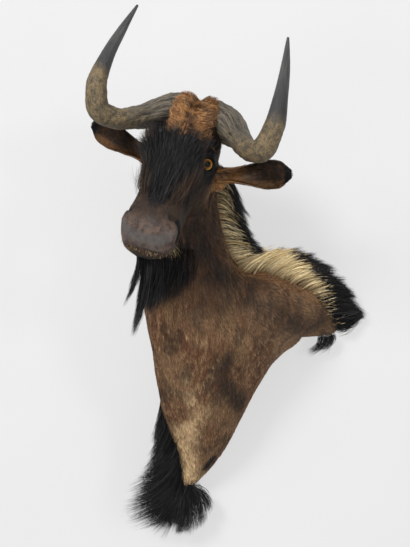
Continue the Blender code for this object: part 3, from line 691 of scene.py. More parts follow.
def chart(points):
    """Unwrap of the skin: round the neck and chest, or round the head, against the way down."""
    at, head = in_head(points), on_head(points)
    across, out = sections(BODY_SLICES, points[:, 2])[:2]
    body_turn = np.arctan2(points[:, 0] - across, out - points[:, 1])
    head_turn = np.arctan2(at[:, 0], -at[:, 1] + 0.06)
    wide = np.where(head, 0.80 + 0.18 * head_turn / math.pi, 0.30 + 0.28 * body_turn / math.pi)
    down = np.where(head, (0.07 - at[:, 2]) / 0.52, 0.56 - points[:, 2])
    return np.clip(np.stack([wide, 1 - down], 1), 0.004, 0.996)


def mesh_of(name, vertices, faces):
    """Mesh from arrays: faces is a list of index tables, each with one face a row."""
    mesh = bpy.data.meshes.new(name)
    mesh.vertices.add(len(vertices))
    mesh.vertices.foreach_set("co", vertices.astype(np.float32).ravel())
    corners = np.concatenate([table.ravel() for table in faces]).astype(np.int32)
    sizes = np.concatenate([np.full(len(table), table.shape[1]) for table in faces])
    mesh.loops.add(len(corners))
    mesh.loops.foreach_set("vertex_index", corners)
    mesh.polygons.add(len(sizes))
    starts = np.concatenate([[0], np.cumsum(sizes)[:-1]]).astype(np.int32)
    mesh.polygons.foreach_set("loop_start", starts)
    mesh.update(calc_edges=True)
    mesh.shade_smooth()
    return mesh


def tube_quads(rings, sides):
    """Quads between rings of points that follow one another."""
    level, first = np.arange(rings - 1)[:, None] * sides, np.arange(sides)
    ring, after = level + first, level + (first + 1) % sides
    return np.stack([ring, after, after + sides, ring + sides], -1).reshape(-1, 4)


def closed_tube(rings, sides):
    """Faces of a tube whose rings are followed by one point for each end."""
    first = np.arange(sides)
    after, last = (first + 1) % sides, (rings - 1) * sides
    near_end, far_end = np.full(sides, rings * sides), np.full(sides, rings * sides + 1)
    caps = [np.stack([near_end, after, first], 1), np.stack([far_end, last + first, last + after], 1)]
    return [tube_quads(rings, sides), *caps]


def keep(mesh, name, values):
    """Keep a number or a vector for each vertex, for the material to read."""
    values = np.ascontiguousarray(values, np.float32)
    kind, field = ("FLOAT", "value") if values.ndim == 1 else ("FLOAT_VECTOR", "vector")
    mesh.attributes.new(name, kind, "POINT").data.foreach_set(field, values.ravel())


def keep_marks(mesh, roots, marks, tip, tone):
    """What the coat's material reads, one row for each vertex; tip and tone may be one number."""
    keep(mesh, "root", roots)
    keep(mesh, "marks", marks[:, :3])
    keep(mesh, "shades", marks[:, 3:])
    keep(mesh, "tip", np.broadcast_to(tip, len(roots)))
    keep(mesh, "tone", np.broadcast_to(tone, len(roots)))


def bake_map(mesh, spots):
    """The map for baking, from one spot for each vertex."""
    layer = mesh.uv_layers.new(name="OFBake")
    layer.data.foreach_set("uv", spots[corners_of(mesh)].astype(np.float32).ravel())


def piece_of(name, mesh, slot, material, *nodes):
    """A piece that rides with the mount, and stands for nodes of the solids."""
    made = placed(name, mesh)
    mesh.materials.clear()
    mesh.materials.append(material)
    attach(made, "root")
    if nodes:
        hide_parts(*nodes)


def stations(count):
    """Shares along a line, shaped to go with an array of lines."""
    return np.linspace(0, 1, count)[None, :, None]


def strayed(draw, way, amount, count):
    """Random directions about a way, which is one vector or one for each direction."""
    return unit(np.array(way) + draw.normal(0, amount, (count, 3)))


def arcs(roots, starts, tips, steps, reach=0.5):
    """Curves from roots to tips that leave the roots along starts."""
    s = stations(steps)
    length = np.linalg.norm(tips - roots, axis=1, keepdims=True)
    middle = roots + starts * length * reach
    return (1 - s) ** 2 * roots[:, None] + 2 * s * (1 - s) * middle[:, None] + s**2 * tips[:, None]


def curled(draw, lines, radius, turns):
    """Lines with a helix of growing radius added."""
    s = stations(lines.shape[1])
    along = unit(lines[:, -1] - lines[:, 0])
    side = unit(np.cross(along, draw.normal(size=along.shape)))
    other = np.cross(along, side)
    phase = draw.uniform(0, 2 * math.pi, (len(lines), 1, 1))
    angle = phase + 2 * math.pi * turns * s
    wave = side[:, None] * (np.cos(angle) - np.cos(phase)) + other[:, None] * (np.sin(angle) - np.sin(phase))
    return lines + radius * np.sqrt(s) * wave


def gathered(draw, lines, clumps, pull):
    """Lines drawn together towards the tips, in clumps round randomly chosen lines."""
    guides = draw.choice(len(lines), max(1, int(clumps)), replace=False)
    keys = lines[:, 0] * 0.7 + lines[:, -1] * 0.3
    tree = kdtree.KDTree(len(guides))
    for index, guide in enumerate(guides):
        tree.insert(keys[guide], index)
    tree.balance()
    nearest = np.array([guides[tree.find(key)[1]] for key in keys])
    pulls = pull * draw.uniform(0.6, 1.0, (len(lines), 1, 1)) * stations(lines.shape[1]) ** 1.5
    return lines[nearest] + (lines - lines[nearest]) * (1 - pulls)


def locks(draw, lines, each, pull, radius, turns):
    """Lines gathered in clumps of about so many each, then curled."""
    return curled(draw, gathered(draw, lines, len(lines) / each, pull), radius, turns)


BLADE_TAPER = 0.6
# Half the size of a blade's patch on the map for baking.
PATCH_HALF = 0.0015


def hair(name, slot, lines, widths, facing, marks, tone, coat):
    """Joined mesh of flat, tapered blades along lines, with a patch for each on the map.

    marks has a row for each blade, or for each of its stations.
    """
    lines = lines.copy()
    lines[..., 1] = np.minimum(lines[..., 1], -HAIR_CLEARANCE)
    count, steps = lines.shape[:2]
    across = unit(np.cross(unit(np.gradient(lines, axis=1)), facing[:, None]))
    s = np.linspace(0, 1, steps)
    half = 0.5 * widths[:, None] * (1 - s) ** BLADE_TAPER * (0.55 + 0.45 * smooth(4 * s))
    edge = (across * half[..., None])[:, :-1]
    rings = np.stack([lines[:, :-1] + edge, lines[:, :-1] - edge], 2).reshape(count, -1, 3)
    vertices = np.concatenate([rings, lines[:, -1:]], 1)
    each = vertices.shape[1]
    base = np.arange(count)[:, None] * each
    ladder = np.arange(steps - 2)[:, None] * 2 + np.array([0, 1, 3, 2])
    quads = (base[:, :, None] + ladder).reshape(-1, 4)
    ends = base + np.array([each - 3, each - 2, each - 1])
    mesh = mesh_of(name, vertices.reshape(-1, 3), [quads, ends])
    station = np.concatenate([np.repeat(np.arange(steps - 1), 2), [steps - 1]])
    tip = s[station]
    marks = np.repeat(marks[:, None], each, 1) if marks.ndim == 2 else marks[:, station]
    roots = np.repeat(lines[:, 0], each, 0)
    keep_marks(mesh, roots, marks.reshape(-1, 6), np.tile(tip, count), np.repeat(tone, each))
    spots = chart(lines[:, 0])
    low, high = spots.min(0), spots.max(0)
    spots = 0.01 + 0.98 * (spots - low) / np.maximum(high - low, 1e-6)
    wide = np.concatenate([np.tile([-PATCH_HALF, PATCH_HALF], steps - 1), [0.0]])
    patches = spots[:, None] + np.stack([wide, PATCH_HALF * (2 * tip - 1)], 1)
    bake_map(mesh, patches.reshape(-1, 2))
    piece_of(name, mesh, slot, coat)


def strands(draw, name, slot, lines, facing, width, marks, coat, spread=(0.6, 1.3)):
    """Hair of mixed widths and tones along lines."""
    count = len(lines)
    widths = width * draw.uniform(*spread, count)
    hair(name, slot, lines, widths, facing, marks, draw.random(count), coat)


def lie_of_coat(points):
    """The way the short coat lies, before it is laid along the skin."""
    at, head = in_head(points), head_share(points)[:, None]
    side = np.sign(at[:, :1]) * smooth((np.abs(at[:, :1]) - 0.02) / 0.04)
    back = smooth((at[:, 1:2] + 0.01) / 0.07)
    face = np.concatenate([0.35 * side * (1 - back), 0.25 + 0.9 * back, 1.0 - 1.5 * back], 1) @ HEAD_TURN.T
    low = smooth((0.10 - points[:, 2:3]) / 0.30)
    rear = smooth((points[:, :1] - 0.02) / 0.15)
    body = np.array([0.12, 0.27, -1.0]) + low * np.array([-0.05, -0.1, 0.0])
    body = body + rear * np.array([0.55, 0.4, 0.35])
    return unit(head * unit(face) + (1 - head) * unit(body))


def laid(directions, normals):
    """Directions laid flat on the surface."""
    return unit(directions - normals * (directions * normals).sum(1, keepdims=True))


class Paint:
    """A material in the making. Values for its nodes are sockets, colours or numbers."""

    def __init__(self, name, roughness, specular):
        """Start a material with one shader."""
        self.material = bpy.data.materials.new(name)
        self.material.use_nodes = True
        self.tree = self.material.node_tree
        self.shader = self.tree.nodes["Principled BSDF"]
        self.surface({"Roughness": roughness, "Specular IOR Level": specular})

    def feed(self, socket, value):
        """Link a socket, or set it to a colour, a vector or a number."""
        if isinstance(value, bpy.types.NodeSocket):
            self.tree.links.new(value, socket)
        elif socket.type == "RGBA":
            socket.default_value = (*value, 1)
        else:
            socket.default_value = value

    def surface(self, values):
        """Values for inputs of the shader, by name."""
        for name, value in values.items():
            self.feed(self.shader.inputs[name], value)

    def node(self, kind, values=None, **settings):
        """New node with settings, and values for its inputs by name or number."""
        made = self.tree.nodes.new(kind)
        for name, value in settings.items():
            setattr(made, name, value)
        for key, value in (values or {}).items():
            self.feed(made.inputs[key], value)
        return made

    def mix(self, factor, first, second, way="MIX"):
        """First colour at a factor of 0, second at 1."""
        values = {0: factor, 6: first, 7: second}
        return self.node("ShaderNodeMix", values, data_type="RGBA", blend_type=way).outputs[2]

    def maths(self, operation, first, second):
        """One operation on two numbers."""
        return self.node("ShaderNodeMath", {0: first, 1: second}, operation=operation).outputs[0]

    def plus(self, first, second, share):
        """First and a share of second."""
        return self.maths("ADD", first, self.maths("MULTIPLY", second, share))

    def ramp(self, value, low, high, most=1.0):
        """0 below low, most above high, smooth between."""
        values = {"Value": value, "From Min": low, "From Max": high, "To Max": most}
        return self.node("ShaderNodeMapRange", values, interpolation_type="SMOOTHSTEP").outputs["Result"]

    def clouds(self, vector, scale, detail, stretch=(1, 1, 1), rough=0.55):
        """Fractal noise from 0 to 1 in a vector's space."""
        mapped = self.node("ShaderNodeMapping", {"Vector": vector, "Scale": stretch}).outputs[0]
        values = {"Vector": mapped, "Scale": scale, "Detail": detail, "Roughness": rough}
        return self.node("ShaderNodeTexNoise", values).outputs["Fac"]

    def kept(self, name, output="Fac"):
        """What the mesh keeps under a name for each vertex."""
        return self.node("ShaderNodeAttribute", attribute_name=name).outputs[output]

    def kept_parts(self, name):
        """The three numbers of a kept vector."""
        return self.node("ShaderNodeSeparateXYZ", {0: self.kept(name, "Vector")}).outputs

    def place(self):
        """Place on the object."""
        return self.node("ShaderNodeTexCoord").outputs["Object"]

    def bump(self, height, strength, distance):
        """Raise the shader's surface by a height."""
        values = {"Height": height, "Strength": strength, "Distance": distance}
        self.surface({"Normal": self.node("ShaderNodeBump", values).outputs[0]})


# Colours of the coat.
BLACK = (0.0085, 0.0080, 0.0085)
SOOT = (0.036, 0.034, 0.034)
DARK_BROWN = (0.030, 0.021, 0.017)
BROWN = (0.215, 0.124, 0.066)
CHESTNUT = (0.128, 0.060, 0.031)
TAN = (0.390, 0.245, 0.130)
STRAW = (0.800, 0.580, 0.320)
ORANGE = (0.385, 0.172, 0.052)
CREAM = (0.900, 0.740, 0.430)
GOLD = (0.460, 0.290, 0.105)
MUZZLE_BROWN = (0.097, 0.063, 0.047)
MUZZLE_SHADE = (0.036, 0.024, 0.021)
MUZZLE_GREY = (0.074, 0.071, 0.069)


def coat_material():
    """Skin and hair of the whole animal, coloured by markings kept at the roots."""
    paint = Paint("coat", roughness=0.62, specular=0.12)
    mix, ramp, plus, clouds = paint.mix, paint.ramp, paint.plus, paint.clouds
    root, tip, tone = paint.kept("root", "Vector"), paint.kept("tip"), paint.kept("tone")
    black, orange, cream = paint.kept_parts("marks")
    pale, dark, bare = paint.kept_parts("shades")
    broad = clouds(root, 8.0, 3.0)
    blotch = clouds(root, 24.0, 5.0, stretch=(1, 1, 0.6))
    streak = clouds(root, 110.0, 3.0, stretch=(1, 1, 0.15))
    thread = clouds(root, 260.0, 2.0, stretch=(1, 1, 0.10))

    brown = mix(ramp(broad, 0.40, 0.60), CHESTNUT, BROWN)
    brown = mix(ramp(streak, 0.42, 0.62), brown, BROWN)
    brown = mix(ramp(plus(blotch, thread, 0.25), 0.60, 0.74, most=0.60), brown, DARK_BROWN)
    # Tan streaks: partly the coat's own streaky tone, partly painted sheen highlights on the hair.
    brown = mix(ramp(streak, 0.54, 0.68, most=0.70), brown, TAN)
    sandy = mix(ramp(streak, 0.35, 0.62), TAN, STRAW)
    brown = mix(ramp(plus(pale, blotch, 1.1), 0.62, 1.35), brown, sandy)
    dusk = plus(plus(dark, streak, 1.6), broad, 0.4)
    brown = mix(ramp(dusk, 1.00, 1.90, most=0.92), brown, DARK_BROWN)

    rust = mix(ramp(streak, 0.38, 0.62), ORANGE, CHESTNUT)
    rust = mix(ramp(tone, 0.45, 1.0, most=0.6), rust, TAN)
    ivory = mix(ramp(streak, 0.42, 0.66), CREAM, GOLD)
    ink = mix(ramp(tone, 0.70, 1.0), BLACK, SOOT)
    fur = mix(cream, mix(orange, brown, rust), ivory)
    fur = mix(ramp(plus(black, streak, 0.6), 0.55, 1.05), fur, ink)
    # Painted shade: each blade is darker towards its root and lighter towards its tip, where the light falls
    # on it; tone and thread add random tone of the hair.
    light = paint.maths("MULTIPLY", plus(0.50, tone, 0.80), plus(0.62, tip, 0.62))
    light = paint.maths("MULTIPLY", light, plus(0.60, thread, 0.80))
    fur = mix(1.0, fur, light, "MULTIPLY")

    pores = clouds(root, 420.0, 2.0)
    leather = mix(ramp(clouds(root, 55.0, 5.0, rough=0.7), 0.42, 0.60), MUZZLE_SHADE, MUZZLE_BROWN)
    leather = mix(ramp(blotch, 0.45, 0.80), leather, MUZZLE_GREY)
    leather = mix(paint.maths("MULTIPLY", pale, 0.8), leather, MUZZLE_GREY)
    leather = mix(black, leather, BLACK)
    leather = mix(ramp(clouds(root, 95.0, 4.0), 0.42, 0.72, most=0.45), leather, DARK_BROWN)
    leather = mix(ramp(pores, 0.52, 0.66, most=0.5), leather, MUZZLE_BROWN)
    paint.surface({"Base Color": mix(bare, fur, leather), "Roughness": plus(0.62, bare, -0.14)})
    paint.bump(plus(thread, pores, 0.6), strength=0.6, distance=0.002)
    return paint.material


# Horn colours: boss, rough middle and smooth upper part.
HORN_BOSS = (0.148, 0.122, 0.086)
HORN_TAN = (0.172, 0.122, 0.060)
HORN_OLIVE = (0.042, 0.034, 0.022)
HORN_GREY = (0.070, 0.069, 0.067)
HORN_DARK = (0.015, 0.014, 0.014)
# Share of each horn's length where the smooth grey part begins.
HORN_SMOOTH_FROM = {"left": 0.605, "right": 0.640}
HORN_SIDES = 56
HORN_RINGS = 171
HORN_TIP = 0.003


def horn_material():
    """Horn, from the flaking boss over the rough middle to the smooth dark tip."""
    paint = Paint("horn", roughness=0.62, specular=0.35)
    mix, ramp, plus, clouds = paint.mix, paint.ramp, paint.plus, paint.clouds
    place, ring = paint.place(), paint.kept("ring", "Vector")
    along, smoothness = paint.kept("along"), paint.kept("smoothness")
    mottle = clouds(place, 70.0, 6.0, rough=0.7)
    fibre = clouds(ring, 7.0, 5.0, stretch=(2.2, 2.2, 1.6), rough=0.65)
    flake = clouds(place, 320.0, 4.0, rough=0.7)
    rough = mix(ramp(mottle, 0.36, 0.64), HORN_OLIVE, HORN_TAN)
    rough = mix(ramp(fibre, 0.50, 0.64, most=0.65), rough, HORN_TAN)
    rough = mix(ramp(flake, 0.50, 0.64, most=0.75), rough, HORN_DARK)
    boss = mix(ramp(fibre, 0.40, 0.60), HORN_DARK, HORN_BOSS)
    boss = mix(ramp(mottle, 0.55, 0.66, most=0.6), boss, HORN_TAN)
    boss = mix(ramp(flake, 0.52, 0.66, most=0.6), boss, HORN_OLIVE)
    wander = plus(along, paint.maths("SUBTRACT", mottle, 0.5), 0.45)
    worn = mix(ramp(along, 0.62, 0.85), HORN_DARK, mix(ramp(fibre, 0.38, 0.62), HORN_DARK, HORN_GREY))
    colour = mix(smoothness, mix(ramp(wander, 0.20, 0.42), boss, rough), worn)
    paint.surface({"Base Color": colour, "Roughness": plus(0.62, smoothness, -0.22)})
    paint.bump(plus(paint.maths("MULTIPLY", fibre, 1.2), flake, 0.6), strength=0.8, distance=0.0015)
    return paint.material


def tangled(points, scale, seed):
    """Fractal noise at points, about -0.5 to 0.5."""
    offset = Vector((seed * 7.1, seed * 3.3, seed * 5.7))
    return np.array([0.5 * noise.fractal(Vector(point) * scale + offset, 1.0, 2.0, 4) for point in points])


def horn_swell(share, turn, lumps, fine, smoothness):
    """How far the horn stands out from its path's smooth form: facets, lumps and grooves."""
    boss = smooth((0.42 - share) / 0.2)
    facets = np.abs(np.sin(2.5 * turn + 7 * share)) - 0.6
    grooves = np.sin(9 * turn + 14 * lumps + 10 * share)
    swell = 0.0040 * boss * facets + 0.0045 * boss * lumps + 0.0008 * grooves * (0.3 + 0.7 * boss)
    return (swell + 0.0022 * lumps + 0.0016 * fine) * (1 - smoothness) + 0.0004 * fine


def make_horn(name, side, material):
    """Horn from its path, with growth ridges low down and a rough boss."""
    places, high, deep = zip(*HORN_PATH)
    stops = np.concatenate([[0], np.cumsum(np.linalg.norm(np.diff(places, axis=0), axis=1))])
    at = np.linspace(0, stops[-1], HORN_RINGS)
    centres = curve(stops, places, at)
    along = unit(np.gradient(centres, axis=0))
    depth = unit(np.array([0.0, 1.0, 0.0]) - along * along[:, 1:2])
    rise = np.cross(along, depth) * eased(stops, high, at)[:, None]
    depth = depth * eased(stops, deep, at)[:, None]
    turn = np.linspace(0, 2 * math.pi, HORN_SIDES, endpoint=False)
    outward = rise[:, None] * np.cos(turn)[:, None] + depth[:, None] * np.sin(turn)[:, None]
    points = centres[:, None] + outward
    share = (at / stops[-1])[:, None]
    lumps, fine = (
        tangled(points.reshape(-1, 3), scale, seed).reshape(HORN_RINGS, HORN_SIDES)
        for scale, seed in ((24.0, 1), (110.0, 2))
    )
    smoothness = smooth(0.5 + (share - HORN_SMOOTH_FROM[name] + 0.05 * lumps) / 0.05)
    swell = horn_swell(share, turn, lumps, fine, smoothness)[..., None]
    points = (points + unit(outward) * swell).reshape(-1, 3)
    points = np.concatenate([points, centres[:1], centres[-1:] + along[-1:] * HORN_TIP]) * (side, 1, 1)
    faces = closed_tube(HORN_RINGS, HORN_SIDES)
    mesh = mesh_of(name, turned(HEAD, points), faces if side > 0 else [table[:, ::-1] for table in faces])
    share = np.concatenate([np.repeat(share, HORN_SIDES), [0.0, 1.0]])
    spin = np.concatenate([np.tile(turn, HORN_RINGS), [0.0, 0.0]])
    keep(mesh, "smoothness", np.concatenate([smoothness.ravel(), [0.0, 1.0]]))
    keep(mesh, "along", share)
    keep(mesh, "ring", np.stack([np.cos(spin), np.sin(spin), share], 1))
    piece_of(name + "_horn", mesh, "horn", material, "horn_" + name)


EAR_RINGS = 45
# Points of each ring on one face of the ear.
EAR_ARC = 22
EAR_HAIRS = 14000


def ear_shell(root, tip, opening):
    """Rings of a cupped leaf: outer arc, then inner arc, with the way each point faces."""
    root, tip, opening = (np.array(value, float) for value in (root, tip, opening))
    along = unit(tip - root)
    face = unit(opening - along * (opening @ along))
    side = np.cross(along, face)
    rings, outward = [], []
    for share in np.linspace(0, 1, EAR_RINGS):
        width = EAR_HALF_WIDTH * eased(*EAR_WIDTHS, share)
        curl = math.radians(eased(*EAR_CURL, share))
        centre = root + (tip - root) * share - face * EAR_BOW * math.sin(math.pi * share)
        radius = width / math.sin(min(curl, math.pi / 2))
        for sign in (1, -1):
            turn = np.linspace(-curl, curl, EAR_ARC)[::sign]
            reach = radius + (EAR_THICKNESS * (1 - 0.5 * share) - 0.001 if sign > 0 else 0.0)
            away = side * np.sin(turn)[:, None] - face * np.cos(turn)[:, None]
            rings.append(centre + face * radius + away * reach)
            outward.append(sign * away)
    shape = (EAR_RINGS, 2 * EAR_ARC, 3)
    return np.array(rings).reshape(shape), np.array(outward).reshape(shape)


def make_ear(draw, name, coat):
    """Leaf of the ear, with its fur."""
    rings, outward = ear_shell(*EARS[name])
    sides = 2 * EAR_ARC
    points = turned(HEAD, rings.reshape(-1, 3))
    cap = np.arange(sides)[None]
    last = (EAR_RINGS - 1) * sides
    mesh = mesh_of(name, points, [tube_quads(EAR_RINGS, sides), last + cap, cap[:, ::-1]])
    inner = np.tile(np.arange(sides) >= EAR_ARC, EAR_RINGS)
    marks = ear_marks(name, rings.reshape(-1, 3), inner)
    # The ear's leaf keeps a middle tip share, so it takes half of the painted root shade.
    keep_marks(mesh, points, marks, tip=0.5, tone=0.4)
    rows, columns = np.linspace(0.01, 0.99, EAR_RINGS), np.linspace(0.01, 0.99, sides)
    bake_map(mesh, np.stack(np.meshgrid(rows, columns, indexing="ij"), -1).reshape(-1, 2))
    piece_of(name + "_shell", mesh, "ear_hair", coat, name)
    ear_fur(draw, name, rings, outward, coat)


def ear_marks(name, points, inner):
    """Markings of an ear: dark inside and at the tip, orange at its root and along its lower rim."""
    root, tip, _ = (np.array(value) for value in EARS[name])
    share = np.clip((points - root) @ (tip - root) / ((tip - root) @ (tip - root)), 0, 1)
    below = (root + share[:, None] * (tip - root) - points)[:, 2] / EAR_HALF_WIDTH
    black = np.where(inner, 0.40 * smooth((share - 0.20) / 0.3), 0.25 * smooth((share - 0.3) / 0.3))
    black = np.maximum(black * (1 - 0.8 * smooth((below - 0.35) / 0.3)), smooth((share - 0.86) / 0.1))
    orange = np.maximum(0.75 * smooth((0.42 - share) / 0.34), 0.30 * smooth((below - 0.35) / 0.35))
    dark = 0.10 + 0.60 * smooth((share - 0.10) / 0.4) - 0.3 * smooth((below - 0.3) / 0.3)
    return marks_of(black, orange * smooth((0.97 - share) / 0.15), dark=dark)


def ear_fur(draw, name, rings, outward, coat):
    """Short fur on both faces of an ear, longer on the inner one and closer along its rims."""
    steps, sides = EAR_RINGS - 1, 2 * EAR_ARC
    count = int(EAR_HAIRS * HAIR_SHARE)
    row, column = draw.random(count) * (steps - 0.01), draw.random(count) * (EAR_ARC - 1)
    inner = draw.random(count) < 0.4
    rim = draw.random(count) < 0.22
    column = np.where(rim, np.where(draw.random(count) < 0.5, 0.0, EAR_ARC - 1.01), column)
    i, j = row.astype(int), (column + np.where(inner, EAR_ARC, 0)).astype(int)
    down, across = (row - i)[:, None], (column % 1)[:, None]

    def read(table):
        """Values of a table of the rings at each root."""
        near = table[i, j] * (1 - down) + table[i + 1, j] * down
        far = table[i, (j + 1) % sides] * (1 - down) + table[i + 1, (j + 1) % sides] * down
        return near * (1 - across) + far * across

    roots, normals = read(rings), unit(read(outward))
    along = unit(rings[i + 1, j] - rings[i, j])
    length = np.where(inner, 0.014 - 0.006 * row / steps, 0.0085) * draw.uniform(0.6, 1.2, count)
    out = strayed(draw, normals * np.where(inner, 0.35, 0.22)[:, None] + along, 0.15, count)
    tips = roots + out * length[:, None]
    lines = gathered(draw, arcs(roots, unit(along + normals * 0.6), tips, steps=3), count / 8, pull=0.5)
    lines = turned(HEAD, lines.reshape(-1, 3)).reshape(lines.shape)
    marks, facing = ear_marks(name, roots, inner), normals @ HEAD_TURN.T
    strands(draw, name + "_fur", "ear_hair", lines, facing, 0.0010, marks, coat, spread=(0.7, 1.3))


IRIS_AMBER = (0.900, 0.480, 0.090)
IRIS_EDGE = (0.200, 0.080, 0.018)
PUPIL = (0.004, 0.004, 0.004)
# Half angles of the pupil and the iris, in degrees from the axis of the eye.
PUPIL_ANGLE = 25.0
IRIS_ANGLE = 56.0
# The glass eyes look a little further forward than their sockets.
GAZE_TURN = math.radians(35)
EYE_RINGS = 47
EYE_SIDES = 64


def eye_material():
    """Glass eye: black pupil, amber iris with fine rays, dark rim, under a clear coat."""
    paint = Paint("glass_eye", roughness=0.25, specular=0.05)
    mix, ramp, angle = paint.mix, paint.ramp, paint.kept("angle")
    rays = paint.clouds(paint.kept("ray", "Vector"), 9.0, 3.0)
    iris = mix(ramp(rays, 0.30, 0.75), IRIS_AMBER, IRIS_EDGE)
    iris = mix(ramp(angle, IRIS_ANGLE - 22, IRIS_ANGLE - 12), IRIS_EDGE, iris)
    colour = mix(ramp(angle, PUPIL_ANGLE - 1.5, PUPIL_ANGLE + 1.5), PUPIL, iris)
    colour = mix(ramp(angle, IRIS_ANGLE - 1, IRIS_ANGLE + 2), colour, PUPIL)
    paint.surface({"Base Color": colour, "Coat Weight": 0.35, "Coat Roughness": 0.02, "Coat IOR": 1.35})
    return paint.material


def make_eye(name, side, material):
    """Glass ball that keeps the angle from its axis, for the pupil and the iris."""
    aim, across = gaze(GAZE_TURN, side)
    angle = np.linspace(0, math.pi, EYE_RINGS + 2)[1:-1, None, None]
    spin = np.linspace(0, 2 * math.pi, EYE_SIDES, endpoint=False)[:, None]
    level = np.sin(angle) * (np.cos(spin) * across + np.sin(spin) * np.array([0.0, 0.0, 1.0]))
    points = np.concatenate([(level + np.cos(angle) * aim).reshape(-1, 3), aim[None], -aim[None]])
    centre = np.array(EYE_AT) * (side, 1, 1)
    mesh = mesh_of(name, turned(HEAD, centre + points * EYE_RADIUS), closed_tube(EYE_RINGS, EYE_SIDES))
    with editing(mesh) as work:
        bmesh.ops.recalc_face_normals(work, faces=work.faces)
    keep(mesh, "angle", np.degrees(np.arccos(np.clip(points @ aim, -1, 1))))
    keep(mesh, "ray", unit(points - (points @ aim)[:, None] * aim))
    piece_of(name + "_glass", mesh, "eye", material, name)


# Where the parts of the body's coat meet: two heights, the top of the shoulder, and a place
# across the chest.
BRISKET_TOP = -0.13
CHEST_TOP = 0.05
SHOULDER_TOP = 0.30
SHOULDER_FROM = 0.02
BODY_COATS = ("coat_brisket", "coat_chest", "coat_shoulder", "coat_neck")
BODY_HAIRS = 215000
FACE_HAIRS = 300000
COAT_RISE = math.radians(22)


def coat_zones(points):
    """Number of the part of the body's coat that each point belongs to."""
    height, rear = points[:, 2], points[:, 0] >= SHOULDER_FROM
    choices = [height < BRISKET_TOP, ~rear & (height < CHEST_TOP), rear & (height < SHOULDER_TOP)]
    return np.select(choices, [0, 1, 2], 3)


def coat_length(points):
    """Length of the short coat at points."""
    at, head = in_head(points), head_share(points)
    lids = smooth((0.034 - from_eye(at)) / 0.012)
    face = (0.012 - 0.0085 * muzzle_part(at, top=0.24, fade=0.06, front=0.04)) * (1 - 0.6 * lids)
    neck = 0.014 + 0.004 * smooth((points[:, 2] - 0.10) / 0.15)
    return head * face + (1 - head) * neck


def short_coat(draw, name, slot, surface, density, weights, width, coat):
    """Short tufts over part of the skin."""
    roots, normals = surface.scatter(draw, density, weights)
    count = len(roots)
    flow = laid(lie_of_coat(roots) + draw.normal(0, 0.16, (count, 3)), normals)
    reach = coat_length(roots) * draw.uniform(0.7, 1.15, count)
    tilt = (COAT_RISE * draw.uniform(0.6, 1.3, count))[:, None]
    starts = flow * np.cos(tilt) + normals * np.sin(tilt)
    roots = roots - normals * SHORT_ROOT_DEPTH
    tips = roots + reach[:, None] * unit(flow + normals * np.sin(tilt) * 0.55)
    lines = gathered(draw, arcs(roots, starts, tips, steps=3), count / 9, pull=0.5)
    facing = strayed(draw, normals, 0.35, count)
    tone = draw.random(count)
    hair(name, slot, lines, width * draw.uniform(0.7, 1.2, count), facing, markings(roots), tone, coat)


def body_coat(coat, surface):
    """Short coat in pieces: brisket, chest, shoulder, neck and head."""
    centres = surface.centres
    head, zones = on_head(centres), coat_zones(centres)
    off_wall = centres[:, 1] < -WALL_CLEARANCE - 0.002
    for number, name in enumerate(BODY_COATS):
        weights = (zones == number) & ~head & off_wall
        draw = np.random.default_rng(seed=21 + number)
        short_coat(draw, name, "body_hair", surface, BODY_HAIRS, weights, 0.0016, coat)
    open_eye = from_eye(in_head(centres)) > EYE_RADIUS + 0.0035
    long_haired = np.maximum(brush_weights(centres), crown_weights(centres))
    weights = head * open_eye * (1 - markings(centres)[:, 5]) * (1 - 0.8 * long_haired)
    draw = np.random.default_rng(seed=27)
    short_coat(draw, "coat_face", "face_hair", surface, FACE_HAIRS, weights, 0.0011, coat)


# Longest way out from a point inside the skin, and how often it is halved to find the skin.
DEEPEST = 0.25
HALVINGS = 14


def landed(inside, directions):
    """Points of the skin straight out from points inside it, and the way out there."""
    directions = unit(directions)
    low, high = np.zeros(len(inside)), np.full(len(inside), DEEPEST)
    for _ in range(HALVINGS):
        middle = (low + high) / 2
        out = skin_field(inside + directions * middle[:, None]) > 0
        low, high = np.where(out, low, middle), np.where(out, middle, high)
    points = inside + directions * low[:, None]
    return points, unit(slope_of(skin_field, points))


def band(draw, count, roots, tips, spread, tip_spread, lean, reach):
    """Random roots beside a curve, each with a tip towards another curve.

    lean is the share along the tips' curve at the start of the roots' curve, and its growth
    to the end. Also gives the share along the roots and the portion of the way to the tips'
    curve that each hair reaches.
    """
    share = draw.random(count)
    base = along_path(roots, share) + draw.normal(0, 1, (count, 3)) * spread
    goal_share = np.clip(lean[0] + lean[1] * share, 0, 1)
    goal = along_path(tips, goal_share) + draw.normal(0, 1, (count, 3)) * tip_spread
    portion = draw.beta(4, 1.5, count) * (reach[1] - reach[0]) + reach[0]
    return share, base, base + (goal - base) * portion[:, None], portion


# Crest of the neck and back, a little inside the skin, and the edges that the hair reaches.
NECK_CREST = (
    (-0.045, -0.250, 0.470),
    (-0.024, -0.215, 0.400),
    (-0.006, -0.188, 0.320),
    (0.030, -0.180, 0.240),
)
NECK_MANE_EDGE = (
    (-0.004, -0.225, 0.425),
    (0.038, -0.208, 0.380),
    (0.056, -0.196, 0.336),
    (0.074, -0.184, 0.296),
    (0.106, -0.170, 0.259),
)
BACK_CREST = (
    (0.040, -0.180, 0.225),
    (0.090, -0.160, 0.215),
    (0.160, -0.115, 0.195),
    (0.240, -0.070, 0.160),
    (0.300, -0.035, 0.113),
    (0.328, -0.015, 0.072),
)
BACK_MANE_EDGE = (
    (0.126, -0.155, 0.258),
    (0.217, -0.110, 0.267),
    (0.300, -0.070, 0.222),
    (0.362, -0.040, 0.155),
    (0.396, -0.022, 0.080),
)
# How much of the tip is black, from the neck to the wall.
BACK_MANE_BLACK = ((0.0, 0.2, 0.45, 0.60, 0.68, 0.76, 1.0), (0.02, 0.16, 0.42, 0.60, 0.92, 1.25, 1.25))
NECK_MANE_HAIRS = 8500
BACK_MANE_HAIRS = 13500
# How far under the crest the search for the skin starts.
CREST_DEPTH = 0.02


